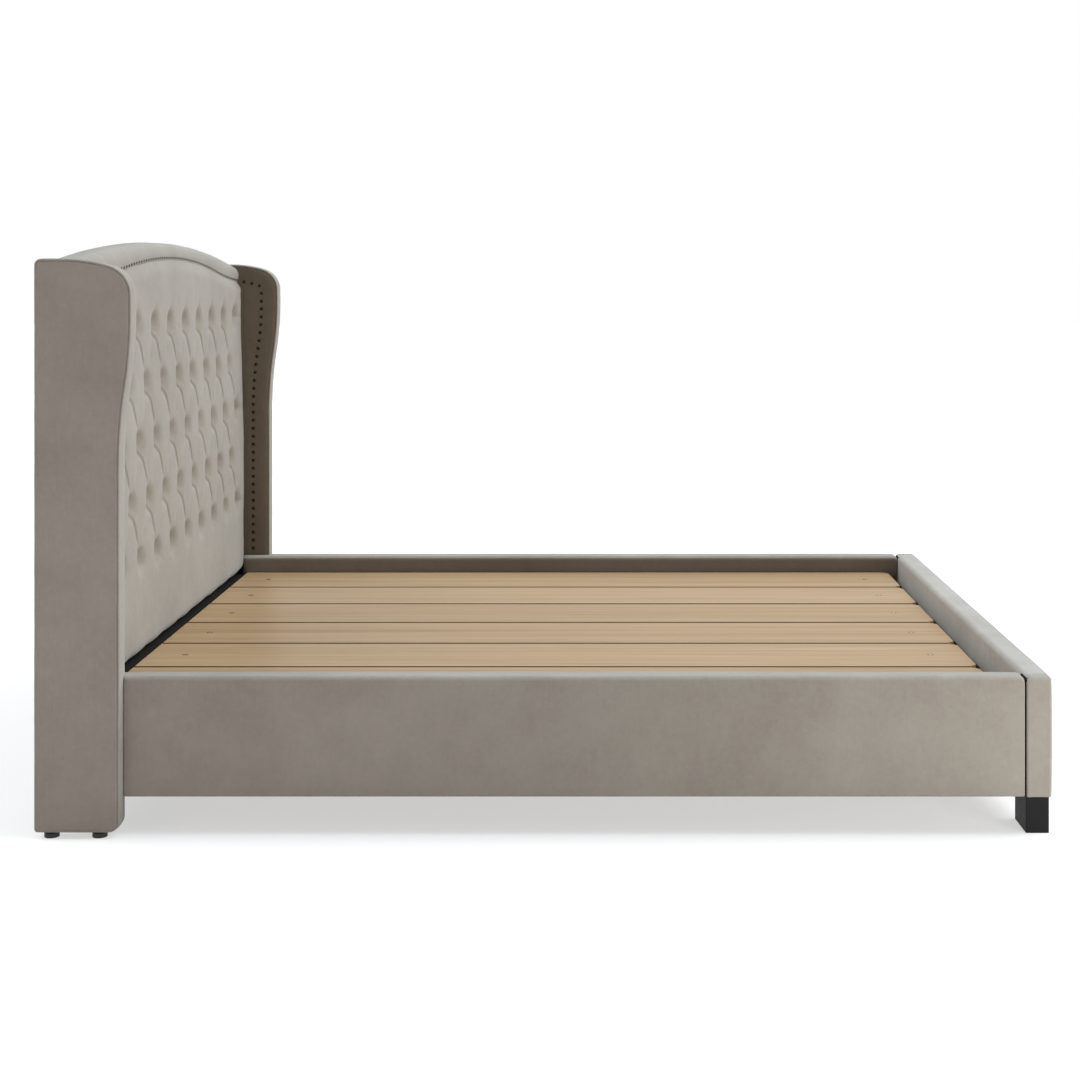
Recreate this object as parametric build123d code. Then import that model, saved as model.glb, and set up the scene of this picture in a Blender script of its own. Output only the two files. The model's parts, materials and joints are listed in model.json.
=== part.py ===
# Upholstered wing bed with an arched, diamond-tufted headboard.
# Millimetres. +X runs from the headboard to the footboard, +Y across the bed, +Z up.
# The origin is on the floor, in the middle of the bed's length and width.
# The near side is the -Y side and the far side is its mirror image.
from build123d import *
import os

os.makedirs("parts", exist_ok=True)

# Overall sizes
bed_length = 2245  # back of the headboard to the front of the footboard
frame_width = 1660  # outside of one side rail to the outside of the other
arch_top = 1328
rail_top = 351
rail_bottom = 85
slat_recess = 50  # the slats lie this far below the top of the rails
seat_gap = 0.3  # left between a soft piece and the neighbour that it lies against
cover_thickness = 4  # fabric with its wadding

# Arched top of the headboard and the nailed line under it
arch_rise = 54
border_height = 46
nail_line_turn_drop = 34
nail_line_turn_place = 500  # where the curve turns from convex to hollow
nail_line_end_drop = 62
roll_overhang = 6  # the border stands this far in front of the face board
roll_rounding = 38

# Headboard timbers and panels
back_panel_thickness = 4
post_depth = 66
post_width = 110
face_board_thickness = 12
lower_panel_gap = 9  # between the pad and the dark panel below it
middle_rail_height = 70
bearing_rail_height = 80
arch_rail_end_height = 70

# Tufted pad
pad_thickness = 30
pad_lift = 2  # the pad ends this far above the slats
pad_side_rounding = 28
pad_corner_radius = 40
tuft_pitch = 156
tuft_row_pitch = 144.5
tuft_side_margin = 100
tuft_top_margin = 108  # below the ends of the nail line
tuft_bottom_margin = 200
fold_half_width = 40
fold_shoulder_half_width = 14
fold_shoulder_depth = 5
fold_depth = 15
tuft_radius = 45
tuft_throat_radius = 18
tuft_throat_depth = 9
tuft_button_radius = 5
tuft_depth = 26

# Wings
wing_overhang = 25.5  # how far a wing stands outside the side rail
wing_thickness = 46
wing_bottom = 14
wing_top_drop = 52  # below the top of the arch
wing_depth = 188.5
wing_head_bulge = 26  # how far the wing's head stands in front of its lower part
wing_brow_run = 149.5  # from the head's front back to the flat top
wing_shoulder_run = 50.5
wing_shoulder_drop = 14
wing_head_drop = 81
wing_head_straight = 55
wing_neck_run = 11.5
wing_neck_height = 140
wing_waist_height = 191
wing_toe_radius = 25
wing_heel_radius = 8
wing_crown_radius = 14
wing_boxing_thickness = 5
wing_cover_thickness = 6
wing_edge_softening = 3

# Decorative nails
wing_nail_radius = 5.25
wing_nail_pitch = 25.5
border_nail_radius = 3.75
border_nail_pitch = 22
nail_dome_share = 0.5  # a dome's height as a share of its radius
nail_inset = 52  # from the wing's edge to the row of nails
nail_rail_gap = 7  # from the rail's top up to the lowest nail
arch_nail_lift = 6  # from the border's lower edge up to the row

# Wing glides
glide_radius = 16.5
glide_pad_height = 10
glide_neck_radius = 9
glide_back_inset = 33.5
glide_front_inset = 49

# Side rails
rail_thickness = 56
rail_top_rounding = 12
rail_end_rounding = 16
rail_end_gap = 3
flap_lap = 3  # the cover's inside flap ends this far above the slats' underside

# Ledgers, cross bearers and slats
ledger_height = 40
ledger_thickness = 26
ledger_end_gap = 12
bearer_height = 40
bearer_width = 70
bearer_count = 5
slat_count = 6
slat_gap = 8
slat_side_gap = 2
slat_thickness = 18
slat_head_gap = 15
slat_foot_gap = 35
slat_corner_cut = 20  # at the foot end
slat_edge_rounding = 2.5

# Footboard and its legs
footboard_thickness = 58
footboard_rounding = 10
leg_depth = 51.5
leg_width = 101
leg_side_inset = 17
leg_front_inset = 2
leg_edge_rounding = 2

# Centre supports and their levelling feet
support_width = 45
support_clearance = 25  # floor to the underside of a support post
foot_radius = 22
foot_height = 8
foot_edge_rounding = 2
stud_radius = 5
stud_engagement = 38
stud_fit = 0.1
stud_retraction = 10
stud_run_out = 4

# Corner brackets
bracket_leg = 80
bracket_thickness = 4
bracket_lift = 15  # above the rail's bottom
bracket_ledger_gap = 8
bracket_bolt_from_corner = 52
bracket_bolt_from_edge = 22

# Screws and bolts
bolt_radius = 4
bolt_head_radius = 7
bolt_head_height = 5
bolt_fit = 0.15
bracket_bolt_bite = 22
wing_bolt_bite = 24
wing_bolt_height_shares = [0.15, 0.49, 0.87]  # of the arch rail's height above the floor
leg_bolt_bite = 40
leg_bolt_recess = 12
leg_bolt_inset = 25.5
screw_inset = 90
screw_head_radius = 4.5
screw_head_height = 4
screw_radius = 2
screw_bite = 24

# Heights that follow from the sizes above
slat_top = rail_top - slat_recess
slat_bottom = slat_top - slat_thickness
bearer_bottom = slat_bottom - bearer_height
ledger_bottom = bearer_bottom - ledger_height
flap_bottom = slat_bottom + flap_lap
pad_bottom = slat_top + pad_lift
lower_panel_top = pad_bottom - lower_panel_gap
arch_end_height = arch_top - arch_rise
nail_line_middle = arch_top - border_height
nail_line_turn_height = nail_line_middle - nail_line_turn_drop
nail_line_end_height = nail_line_middle - nail_line_end_drop
arch_rail_bottom = nail_line_end_height - arch_rail_end_height
bearing_rail_bottom = lower_panel_top - bearing_rail_height
middle_rail_bottom = (lower_panel_top + arch_rail_bottom - middle_rail_height) / 2
top_tuft_height = nail_line_end_height - tuft_top_margin
wing_top = arch_top - wing_top_drop
wing_head_high = wing_top - wing_head_drop
wing_head_low = wing_head_high - wing_head_straight
wing_turn_height = wing_head_low - wing_neck_height
bracket_bottom = rail_bottom + bracket_lift
bracket_top = ledger_bottom - bracket_ledger_gap

# Places along the bed
head_x = -bed_length / 2
foot_x = bed_length / 2
post_back_x = head_x + back_panel_thickness
post_front_x = post_back_x + post_depth
pad_back_x = post_front_x + face_board_thickness
pad_front_x = pad_back_x + pad_thickness
roll_front_x = pad_back_x + roll_overhang
wing_front_x = head_x + wing_depth
wing_head_x = wing_front_x + wing_head_bulge
rail_head_x = pad_front_x + seat_gap
rail_wing_x = wing_front_x + seat_gap
footboard_inside_x = foot_x - footboard_thickness
rail_foot_x = footboard_inside_x - rail_end_gap
slat_head_x = pad_front_x + slat_head_gap
slat_foot_x = footboard_inside_x - slat_foot_gap

# Places across the bed, measured from its middle
frame_half = frame_width / 2
rail_inside = frame_half - rail_thickness
board_inside = rail_inside + cover_thickness
wing_outside = frame_half + wing_overhang
wing_inside = wing_outside - wing_thickness
headboard_half = wing_inside - seat_gap
tufts_in_wide_row = int((2 * headboard_half - 2 * tuft_side_margin) // tuft_pitch) + 1
tuft_rows = int((top_tuft_height - pad_bottom - tuft_bottom_margin) // tuft_row_pitch) + 1
cut_overrun = cover_thickness


def block(x_low, x_high, y_low, y_high, z_low, z_high):
    """A rectangular solid between two corners."""
    middle = Pos((x_low + x_high) / 2, (y_low + y_high) / 2, (z_low + z_high) / 2)
    return middle * Box(x_high - x_low, y_high - y_low, z_high - z_low)


def rod(start, direction, radius, length):
    """A round bar that starts at a point and runs along a direction."""
    seat = Plane(origin=start, z_dir=direction)
    return seat * Pos(0, 0, length / 2) * Cylinder(radius, length)


def bolt(seat, direction, grip):
    """A bolt whose head stands behind its seat and whose shank runs along the direction."""
    along = Vector(direction)
    head = rod(seat - along * bolt_head_height, along, bolt_head_radius, bolt_head_height)
    return head + rod(seat, along, bolt_radius, grip)


def bolt_hole(seat, direction, grip):
    """The hole that a bolt runs through, a little wider and longer than its shank."""
    along = Vector(direction)
    start = seat - along * bolt_head_height
    return rod(start, along, bolt_radius + bolt_fit, grip + bolt_head_height + bolt_fit)


def far(shape):
    """The far side's copy of a near-side piece."""
    return mirror(shape, about=Plane.XZ)


def on_both_sides(shapes):
    """Near-side shapes with their mirror images."""
    return shapes + [far(shape) for shape in shapes]


# Headboard outline
def nail_line():
    """The camel-back curve where the border meets the pad, from the near to the far wing."""
    near_end = Vector(0, -headboard_half, nail_line_end_height)
    near_turn = Vector(0, -nail_line_turn_place, nail_line_turn_height)
    middle = Vector(0, 0, nail_line_middle)
    far_turn = Vector(0, nail_line_turn_place, nail_line_turn_height)
    far_end = Vector(0, headboard_half, nail_line_end_height)
    crown = ThreePointArc(near_turn, middle, far_turn)
    far_sweep = TangentArc(far_turn, far_end, tangent=crown % 1)
    near_sweep = TangentArc(near_turn, near_end, tangent=(crown % 0) * -1)
    return [near_sweep, crown, far_sweep]


def board_under_nail_line(z_low, x_low, x_high):
    """A board between the wings whose top edge follows the nail line."""
    sides = Polyline((0, headboard_half, nail_line_end_height), (0, headboard_half, z_low),
                     (0, -headboard_half, z_low), (0, -headboard_half, nail_line_end_height))
    outline = make_face(nail_line() + [sides])
    return Pos(x_low, 0, 0) * extrude(outline, amount=x_high - x_low, dir=(1, 0, 0))


def border_roll():
    """The padded border between the nail line and the arched top."""
    near_top = (0, -headboard_half, arch_end_height)
    far_top = (0, headboard_half, arch_end_height)
    arch = ThreePointArc(near_top, (0, 0, arch_top), far_top)
    near_side = Line(near_top, (0, -headboard_half, nail_line_end_height))
    far_side = Line(far_top, (0, headboard_half, nail_line_end_height))
    outline = make_face([arch, near_side, far_side] + nail_line())
    roll = Pos(head_x, 0, 0) * extrude(outline, amount=roll_front_x - head_x, dir=(1, 0, 0))
    top_edges = roll.edges().filter_by(GeomType.CIRCLE).group_by(Axis.Z)[-1]
    return fillet(top_edges, roll_rounding)


# Tufted pad
def tuft_places():
    """Rows of tufts from the top down, each row a list of places across the bed."""
    rows = []
    for row in range(tuft_rows):
        count = tufts_in_wide_row - row % 2
        height = top_tuft_height - row * tuft_row_pitch
        places = [(i - (count - 1) / 2) * tuft_pitch for i in range(count)]
        rows.append([Vector(pad_front_x, y, height) for y in places])
    return rows


def fold_lines():
    """The straight diagonal folds, each from its highest tuft to its lowest."""
    rows = tuft_places()
    half_pitch = tuft_pitch / 2
    widest = rows[0][-1].Y
    lines = []
    for way in (-1, 1):
        outer_starts = [rows[i][0 if way > 0 else -1] for i in range(2, tuft_rows, 2)]
        for start in rows[0] + outer_starts:
            rows_below = tuft_rows - 1 - round((rows[0][0].Z - start.Z) / tuft_row_pitch)
            room = round((widest - way * start.Y) / half_pitch)
            steps = min(rows_below, room)
            if steps > 0:
                end = start + Vector(0, way * half_pitch, -tuft_row_pitch) * steps
                lines.append((start, end))
    return lines


def fold_cut(start, end):
    """A sewn fold along a line of tufts: steep at the stitch, easing out to the face."""
    along = (end - start).normalized()
    across = along.cross(Vector(1, 0, 0)).normalized()
    into = Vector(-1, 0, 0)
    profile = [(-fold_half_width, 0), (-fold_shoulder_half_width, fold_shoulder_depth),
               (0, fold_depth), (fold_shoulder_half_width, fold_shoulder_depth),
               (fold_half_width, 0)]
    corners = [start + across * side + into * depth for side, depth in profile]
    section = make_face(Polyline(*corners, close=True))
    return extrude(section, amount=(end - start).length, dir=along)


def tuft_cut(place):
    """The dimple that a stitched tuft draws into the pad."""
    throat = tuft_depth - tuft_throat_depth
    wide = Cone(tuft_throat_radius, tuft_radius, tuft_throat_depth)
    deep = Cone(tuft_button_radius, tuft_throat_radius, throat)
    dimple = Pos(0, 0, -tuft_throat_depth / 2) * wide
    dimple += Pos(0, 0, -tuft_throat_depth - throat / 2) * deep
    return Plane(origin=place, z_dir=(1, 0, 0)) * dimple


def tufted_pad():
    """The pad between the wings: rounded sides drawn in, diamond folds and tufts."""
    pad = board_under_nail_line(pad_bottom, pad_back_x, pad_front_x)
    corners = pad.edges().filter_by(Axis.X).group_by(Axis.Z)
    pad = fillet(corners[0] + corners[1], pad_corner_radius)
    pad = fillet(pad.faces().sort_by(Axis.X)[-1].edges(), pad_side_rounding)
    folds = [fold_cut(start, end) for start, end in fold_lines()]
    tufts = [tuft_cut(place) for row in tuft_places() for place in row]
    return pad - folds - tufts


# Wings
def wing_front_edge():
    """The wing's front and top edge, from its toe up and back to its crown."""
    toe = (wing_front_x, 0, wing_bottom)
    waist = (wing_front_x, 0, wing_turn_height - wing_waist_height)
    turn = (wing_head_x - wing_neck_run, 0, wing_turn_height)
    head_low = (wing_head_x, 0, wing_head_low)
    head_high = (wing_head_x, 0, wing_head_high)
    shoulder = (wing_head_x - wing_shoulder_run, 0, wing_top - wing_shoulder_drop)
    brow = (wing_head_x - wing_brow_run, 0, wing_top)
    lower_sweep = TangentArc(waist, turn, tangent=(0, 0, 1))
    neck_sweep = TangentArc(turn, head_low, tangent=lower_sweep % 1)
    shoulder_sweep = TangentArc(head_high, shoulder, tangent=(0, 0, 1))
    brow_sweep = TangentArc(shoulder, brow, tangent=shoulder_sweep % 1)
    return [Line(toe, waist), lower_sweep, neck_sweep, Line(head_low, head_high),
            shoulder_sweep, brow_sweep, Line(brow, (head_x, 0, wing_top))]


def wing_slab(inset, y_low, y_high):
    """A slab of the wing's outline, drawn in by an inset, between two planes across the bed."""
    back = Line((head_x, 0, wing_top), (head_x, 0, wing_bottom))
    sole = Line((head_x, 0, wing_bottom), (wing_front_x, 0, wing_bottom))
    outline = make_face(wing_front_edge() + [back, sole])
    slab = extrude(outline, amount=y_high - y_low, dir=(0, 1, 0))
    roundings = [((wing_front_x, 0, wing_bottom), wing_toe_radius),
                 ((head_x, 0, wing_bottom), wing_heel_radius),
                 ((head_x, 0, wing_top), wing_crown_radius)]
    for corner, radius in roundings:
        slab = fillet(slab.edges().filter_by(Axis.Y).sort_by_distance(corner)[0], radius)
    if inset:
        side = slab.faces().sort_by(Axis.Y)[0]
        slab = extrude(offset(side, -inset), amount=y_high - y_low, dir=(0, 1, 0))
    return Pos(0, y_low, 0) * slab


def wing_boxing():
    """The strip that goes round the wing's edge, between its two side covers."""
    outer = wing_slab(0, -wing_outside, -wing_inside)
    sides = outer.faces().sort_by(Axis.Y)
    outer = fillet(sides[0].edges() + sides[-1].edges(), wing_edge_softening)
    return outer - wing_slab(wing_boxing_thickness, -wing_outside, -wing_inside)


def wing_core():
    """The timber side inside a wing, drilled for its bolts."""
    core = wing_slab(wing_boxing_thickness, -wing_outside + wing_cover_thickness,
                     -wing_inside - wing_cover_thickness)
    return core - wing_bolt_holes()


def wing_outer_cover():
    """The padded cloth on the wing's outside face."""
    return wing_slab(wing_boxing_thickness, -wing_outside, -wing_outside + wing_cover_thickness)


def wing_inner_cover():
    """The padded cloth on the wing's inside face, pierced by the wing bolts."""
    cover = wing_slab(wing_boxing_thickness, -wing_inside - wing_cover_thickness, -wing_inside)
    return cover - wing_bolt_holes()


def glide(x):
    """One plastic glide under the near wing."""
    y = -(wing_outside + wing_inside) / 2
    pad = rod((x, y, 0), (0, 0, 1), glide_radius, glide_pad_height)
    neck_height = wing_bottom - glide_pad_height
    return pad + rod((x, y, glide_pad_height), (0, 0, 1), glide_neck_radius, neck_height)


# Decorative nails
def evenly_spaced(points, pitch):
    """Places a pitch apart along a line of closely set points."""
    places = [points[0]]
    travelled = 0
    for here, there in zip(points, points[1:]):
        step = (there - here).length
        while step and travelled + step >= pitch:
            here = here + (there - here) * ((pitch - travelled) / step)
            step = (there - here).length
            places.append(here)
            travelled = 0
        travelled += step
    return places


def wing_nail_places():
    """Places along a line inside the wing's edge, from the rail up to the border."""
    samples = 40
    points = []
    for edge in wing_front_edge():
        for i in range(samples + 1):
            tangent = edge % (i / samples)
            inward = Vector(-tangent.Z, 0, tangent.X)
            points.append(edge @ (i / samples) + inward * nail_inset)
    seen = [p for p in points if p.Z >= rail_top + nail_rail_gap and p.X >= roll_front_x]
    return evenly_spaced(seen, wing_nail_pitch)


def nail(place, direction, radius):
    """One domed nail head, seated flat on the cover."""
    height = radius * nail_dome_share
    dome_radius = (radius ** 2 + height ** 2) / (2 * height)
    ball = Pos(0, 0, height - dome_radius) * Sphere(dome_radius)
    cup = Pos(0, 0, height / 2) * Cylinder(radius, height)
    return Plane(origin=place, z_dir=direction) * (ball & cup)


def wing_nails():
    """The row of nails on the near wing's inside face."""
    places = [(p.X, -wing_inside, p.Z) for p in wing_nail_places()]
    return [nail(place, (0, 1, 0), wing_nail_radius) for place in places]


def border_nails():
    """The row of nails on the border, just above the nail line."""
    line = Wire(nail_line())
    count = int(line.length // border_nail_pitch)
    lift = Vector(roll_front_x, 0, arch_nail_lift)
    places = [line @ ((i + 1 / 2) / count) + lift for i in range(count)]
    return [nail(place, (1, 0, 0), border_nail_radius) for place in places]


# Bolts that hold the wings, hidden inside the headboard
def wing_bolt_seats():
    x = (post_back_x + post_front_x) / 2
    y = -headboard_half + post_width
    return [Vector(x, y, share * arch_rail_bottom) for share in wing_bolt_height_shares]


def wing_bolt_grip():
    return post_width + seat_gap + wing_cover_thickness + wing_bolt_bite


def wing_bolt_holes():
    return [bolt_hole(seat, (0, -1, 0), wing_bolt_grip()) for seat in wing_bolt_seats()]


def wing_bolts():
    return [bolt(seat, (0, -1, 0), wing_bolt_grip()) for seat in wing_bolt_seats()]


# Side rails
def end_rounder(radius, end_x, top_z):
    """What is cut away to round the top corner at a rail's foot end."""
    low_y = -frame_half - cut_overrun
    corner = block(end_x - radius, end_x + cut_overrun, low_y, -rail_inside + cut_overrun,
                   top_z - radius, top_z + cut_overrun)
    centre = (end_x - radius, low_y, top_z - radius)
    return corner - rod(centre, (0, 1, 0), radius, rail_thickness + 2 * cut_overrun)


def rail_room(x_low, y_low, y_high):
    """Space inside the near rail's cover, from a place along it to its foot end."""
    end_x = rail_foot_x - cover_thickness
    top_z = rail_top - cover_thickness
    room = block(x_low, end_x, y_low, y_high, rail_bottom + cover_thickness, top_z)
    return room - end_rounder(rail_end_rounding - cover_thickness, end_x, top_z)


def rail_padding():
    """The padding on the outside of the near rail's board, in front of the wing."""
    return rail_room(rail_wing_x + cover_thickness, -frame_half + cover_thickness, -headboard_half)


def rail_board():
    """The timber of the near rail, drilled for its brackets."""
    return rail_room(rail_head_x, -headboard_half, -board_inside) - bracket_bolt_holes()


def rail_cover():
    """The cover over the near rail, open on the inside below its flap."""
    cover = block(rail_head_x, rail_foot_x, -frame_half, -rail_inside, rail_bottom, rail_top)
    cover = fillet(cover.edges().filter_by(Axis.X).group_by(Axis.Z)[-1], rail_top_rounding)
    cover -= end_rounder(rail_end_rounding, rail_foot_x, rail_top)
    low_z = rail_bottom - cut_overrun
    high_z = rail_top + cut_overrun
    cover -= block(rail_head_x - cut_overrun, rail_wing_x, -frame_half - cut_overrun,
                   -headboard_half, low_z, high_z)
    cover -= rail_room(rail_head_x - cut_overrun, -headboard_half, -board_inside)
    cover -= rail_padding()
    window = block(rail_head_x - cut_overrun, rail_foot_x + cut_overrun, -board_inside,
                   -rail_inside + cut_overrun, rail_bottom + cover_thickness, flap_bottom)
    return cover - window


def rail_ledger():
    """The strip on the inside of the near rail that the cross bearers sit on."""
    return block(rail_head_x + ledger_end_gap, rail_foot_x - ledger_end_gap,
                 -board_inside, -board_inside + ledger_thickness, ledger_bottom, bearer_bottom)


# Corner brackets: the direction is -1 at the headboard's panel and 1 at the footboard
def bracket_bolt_seats():
    """Seat and direction of each bolt at the near side's two brackets."""
    seats = []
    for corner_x, into in ((pad_front_x, -1), (footboard_inside_x, 1)):
        for z in (bracket_bottom + bracket_bolt_from_edge, bracket_top - bracket_bolt_from_edge):
            end_seat = Vector(corner_x - into * bracket_thickness,
                              -board_inside + bracket_bolt_from_corner, z)
            rail_seat = Vector(corner_x - into * bracket_bolt_from_corner,
                               -board_inside + bracket_thickness, z)
            seats.append((end_seat, (into, 0, 0)))
            seats.append((rail_seat, (0, -1, 0)))
    return seats


def bracket_bolt_holes():
    grip = bracket_thickness + bracket_bolt_bite
    return [bolt_hole(seat, way, grip) for seat, way in bracket_bolt_seats()]


def bracket_bolts():
    grip = bracket_thickness + bracket_bolt_bite
    return [bolt(seat, way, grip) for seat, way in bracket_bolt_seats()]


def corner_bracket(corner_x, into):
    """A steel angle between the near rail and the headboard or the footboard."""
    reach_x = corner_x - into * bracket_leg
    plate_x = corner_x - into * bracket_thickness
    on_rail = block(min(corner_x, reach_x), max(corner_x, reach_x), -board_inside,
                    -board_inside + bracket_thickness, bracket_bottom, bracket_top)
    on_end = block(min(corner_x, plate_x), max(corner_x, plate_x), -board_inside,
                   -board_inside + bracket_leg, bracket_bottom, bracket_top)
    return on_rail + on_end - bracket_bolt_holes()


# Slats, cross bearers and centre supports
def bearer_middles():
    """Where each cross bearer lies along the bed; the slats are screwed to the end ones."""
    first = slat_head_x + screw_inset
    last = slat_foot_x - screw_inset
    return [first + (last - first) * i / (bearer_count - 1) for i in range(bearer_count)]


def slat_width():
    room = 2 * rail_inside - 2 * slat_side_gap - (slat_count - 1) * slat_gap
    return room / slat_count


def slat_middle(index):
    return -rail_inside + slat_side_gap + slat_width() / 2 + index * (slat_width() + slat_gap)


def slat_screw(x, y):
    """A countersunk screw down through a slat into its bearer."""
    head = Cone(screw_radius, screw_head_radius, screw_head_height)
    neck_z = slat_top - screw_head_height
    length = slat_thickness + screw_bite - screw_head_height
    return Pos(x, y, slat_top - screw_head_height / 2) * head + rod(
        (x, y, neck_z), (0, 0, -1), screw_radius, length)


def slat_screws(index):
    """The two screws of one slat, one near each end."""
    middles = bearer_middles()
    return [slat_screw(x, slat_middle(index)) for x in (middles[0], middles[-1])]


def slat(index):
    """One lengthwise slat with clipped foot corners, softened edges and its two screw holes."""
    middle = slat_middle(index)
    half = slat_width() / 2
    board = block(slat_head_x, slat_foot_x, middle - half, middle + half, slat_bottom, slat_top)
    foot_corners = board.edges().filter_by(Axis.Z).group_by(Axis.X)[-1]
    board = chamfer(foot_corners, slat_corner_cut)
    board = fillet(board.edges().filter_by(Axis.X).group_by(Axis.Z)[-1], slat_edge_rounding)
    return board - slat_screws(index)


def cross_bearer(index):
    """A timber across the bed, on the two ledgers."""
    x = bearer_middles()[index]
    end = board_inside - seat_gap
    bearer = block(x - bearer_width / 2, x + bearer_width / 2, -end, end, bearer_bottom, slat_bottom)
    if index in (0, bearer_count - 1):
        bearer -= [slat_screw(x, slat_middle(i)) for i in range(slat_count)]
    return bearer


def centre_support(index):
    """A post under a cross bearer, bored for its levelling foot."""
    x = bearer_middles()[index]
    half = support_width / 2
    post = block(x - half, x + half, -half, half, support_clearance, bearer_bottom)
    depth = stud_engagement + stud_retraction + stud_run_out
    return post - rod((x, 0, support_clearance), (0, 0, 1), stud_radius + stud_fit, depth)


def levelling_foot(index):
    """A round foot with a stud that screws up into its post."""
    x = bearer_middles()[index]
    foot = rod((x, 0, 0), (0, 0, 1), foot_radius, foot_height)
    foot = fillet(foot.edges().filter_by(GeomType.CIRCLE), foot_edge_rounding)
    stud_length = support_clearance - foot_height + stud_engagement
    return foot + rod((x, 0, foot_height), (0, 0, 1), stud_radius, stud_length)


# Footboard
def footboard_room(z_low):
    """The space inside the footboard's cover, from a height up to its top wall."""
    return block(footboard_inside_x + cover_thickness, foot_x - cover_thickness,
                 -frame_half + cover_thickness, frame_half - cover_thickness,
                 z_low, rail_top - cover_thickness)


def footboard_board():
    """The timber inside the footboard, drilled for the brackets and legs."""
    return footboard_room(rail_bottom) - on_both_sides(bracket_bolt_holes() + leg_bolt_holes())


def footboard_cover():
    """The cover over the footboard, open underneath."""
    cover = block(footboard_inside_x, foot_x, -frame_half, frame_half, rail_bottom, rail_top)
    edges = cover.edges().filter_by(Axis.Z) + cover.faces().sort_by(Axis.Z)[-1].edges()
    cover = fillet(edges, footboard_rounding)
    return cover - footboard_room(rail_bottom - cut_overrun) - on_both_sides(bracket_bolt_holes())


# Block legs
def leg_middle():
    x = foot_x - leg_front_inset - leg_depth / 2
    y = -frame_half + leg_side_inset + leg_width / 2
    return x, y


def leg_bolt_seats():
    x, y = leg_middle()
    offset = leg_width / 2 - leg_bolt_inset
    return [Vector(x, y + side * offset, leg_bolt_recess) for side in (-1, 1)]


def leg_bolt_grip():
    return rail_bottom - leg_bolt_recess + leg_bolt_bite


def leg_bolt_holes():
    return [bolt_hole(seat, (0, 0, 1), leg_bolt_grip()) for seat in leg_bolt_seats()]


def leg_bolts():
    return [bolt(seat, (0, 0, 1), leg_bolt_grip()) for seat in leg_bolt_seats()]


def foot_leg():
    """The near block leg, with its bolts let in from below."""
    x, y = leg_middle()
    leg = block(x - leg_depth / 2, x + leg_depth / 2, y - leg_width / 2, y + leg_width / 2,
                0, rail_bottom)
    leg = fillet(leg.edges().filter_by(Axis.Z), leg_edge_rounding)
    recesses = [rod((seat.X, seat.Y, 0), (0, 0, 1), bolt_head_radius + bolt_fit, leg_bolt_recess)
                for seat in leg_bolt_seats()]
    return leg - leg_bolt_holes() - recesses


# Headboard timbers
def headboard_post():
    """The near upright, drilled for the wing bolts."""
    post = block(post_back_x, post_front_x, -headboard_half, -headboard_half + post_width,
                 rail_bottom, arch_rail_bottom)
    return post - wing_bolt_holes()


def headboard_crosspiece(z_low, height):
    """A rail between the two uprights."""
    reach = headboard_half - post_width
    return block(post_back_x, post_front_x, -reach, reach, z_low, z_low + height)


def lower_panel():
    """The dark panel below the pad, which the rails are bolted to."""
    panel = block(post_front_x, pad_front_x, -headboard_half, headboard_half,
                  rail_bottom, lower_panel_top)
    return panel - on_both_sides(bracket_bolt_holes())


# Writing the sub-parts
def save(name, shapes):
    """Write one sub-part, as a group where it holds several solids."""
    solids = [solid for shape in shapes for solid in shape.solids()]
    export_step(Compound(solids) if len(solids) > 1 else solids[0], f"parts/{name}.step")
    print(name, len(solids))


def save_pair(name, shapes):
    """Write a near-side sub-part and its mirror image."""
    save(f"{name}_near", shapes)
    save(f"{name}_far", [far(shape) for shape in shapes])


save("headboard_back_panel", [board_under_nail_line(rail_bottom, head_x, post_back_x)])
save_pair("headboard_post", [headboard_post()])
save("headboard_arch_rail", [board_under_nail_line(arch_rail_bottom, post_back_x, post_front_x)])
save("headboard_middle_rail", [headboard_crosspiece(middle_rail_bottom, middle_rail_height)])
save("headboard_bearing_rail", [headboard_crosspiece(bearing_rail_bottom, bearing_rail_height)])
save("headboard_face_board", [board_under_nail_line(lower_panel_top, post_front_x, pad_back_x)])
save("headboard_lower_panel", [lower_panel()])
save("headboard_border_roll", [border_roll()])
save("headboard_tufted_pad", [tufted_pad()])
save("headboard_nails", border_nails())

save_pair("wing_core", [wing_core()])
save_pair("wing_boxing", [wing_boxing()])
save_pair("wing_outer_cover", [wing_outer_cover()])
save_pair("wing_inner_cover", [wing_inner_cover()])
save_pair("wing_nails", wing_nails())
save_pair("wing_glides", [glide(head_x + glide_back_inset),
                          glide(wing_front_x - glide_front_inset)])
save("wing_bolts", on_both_sides(wing_bolts()))

save_pair("rail_board", [rail_board()])
save_pair("rail_padding", [rail_padding()])
save_pair("rail_cover", [rail_cover()])
save_pair("rail_ledger", [rail_ledger()])
save_pair("rail_bracket_head", [corner_bracket(pad_front_x, -1)])
save_pair("rail_bracket_foot", [corner_bracket(footboard_inside_x, 1)])
save("bracket_bolts", on_both_sides(bracket_bolts()))

save("footboard_board", [footboard_board()])
save("footboard_cover", [footboard_cover()])
save_pair("foot_leg", [foot_leg()])
save("leg_bolts", on_both_sides(leg_bolts()))

for number in range(bearer_count):
    save(f"cross_bearer_{number + 1}", [cross_bearer(number)])
for number in range(1, bearer_count - 1):
    save(f"centre_support_{number}", [centre_support(number)])
    save(f"levelling_foot_{number}", [levelling_foot(number)])
for number in range(slat_count):
    save(f"slat_{number + 1}", [slat(number)])
save("slat_screws", [screw for number in range(slat_count) for screw in slat_screws(number)])
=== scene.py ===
# %% [markdown]
# A wing bed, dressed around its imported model
#
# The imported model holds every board, bolt and nail of the bed at its real size. This script
# gives it its looks: the cloth pieces are modelled here, and the wood, metal and plastic get
# their finishes. Everything is in metres. +X runs from the headboard to the footboard, +Y goes
# across to the far side and +Z is up, with the floor at zero.

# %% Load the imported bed
import json
import math

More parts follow.
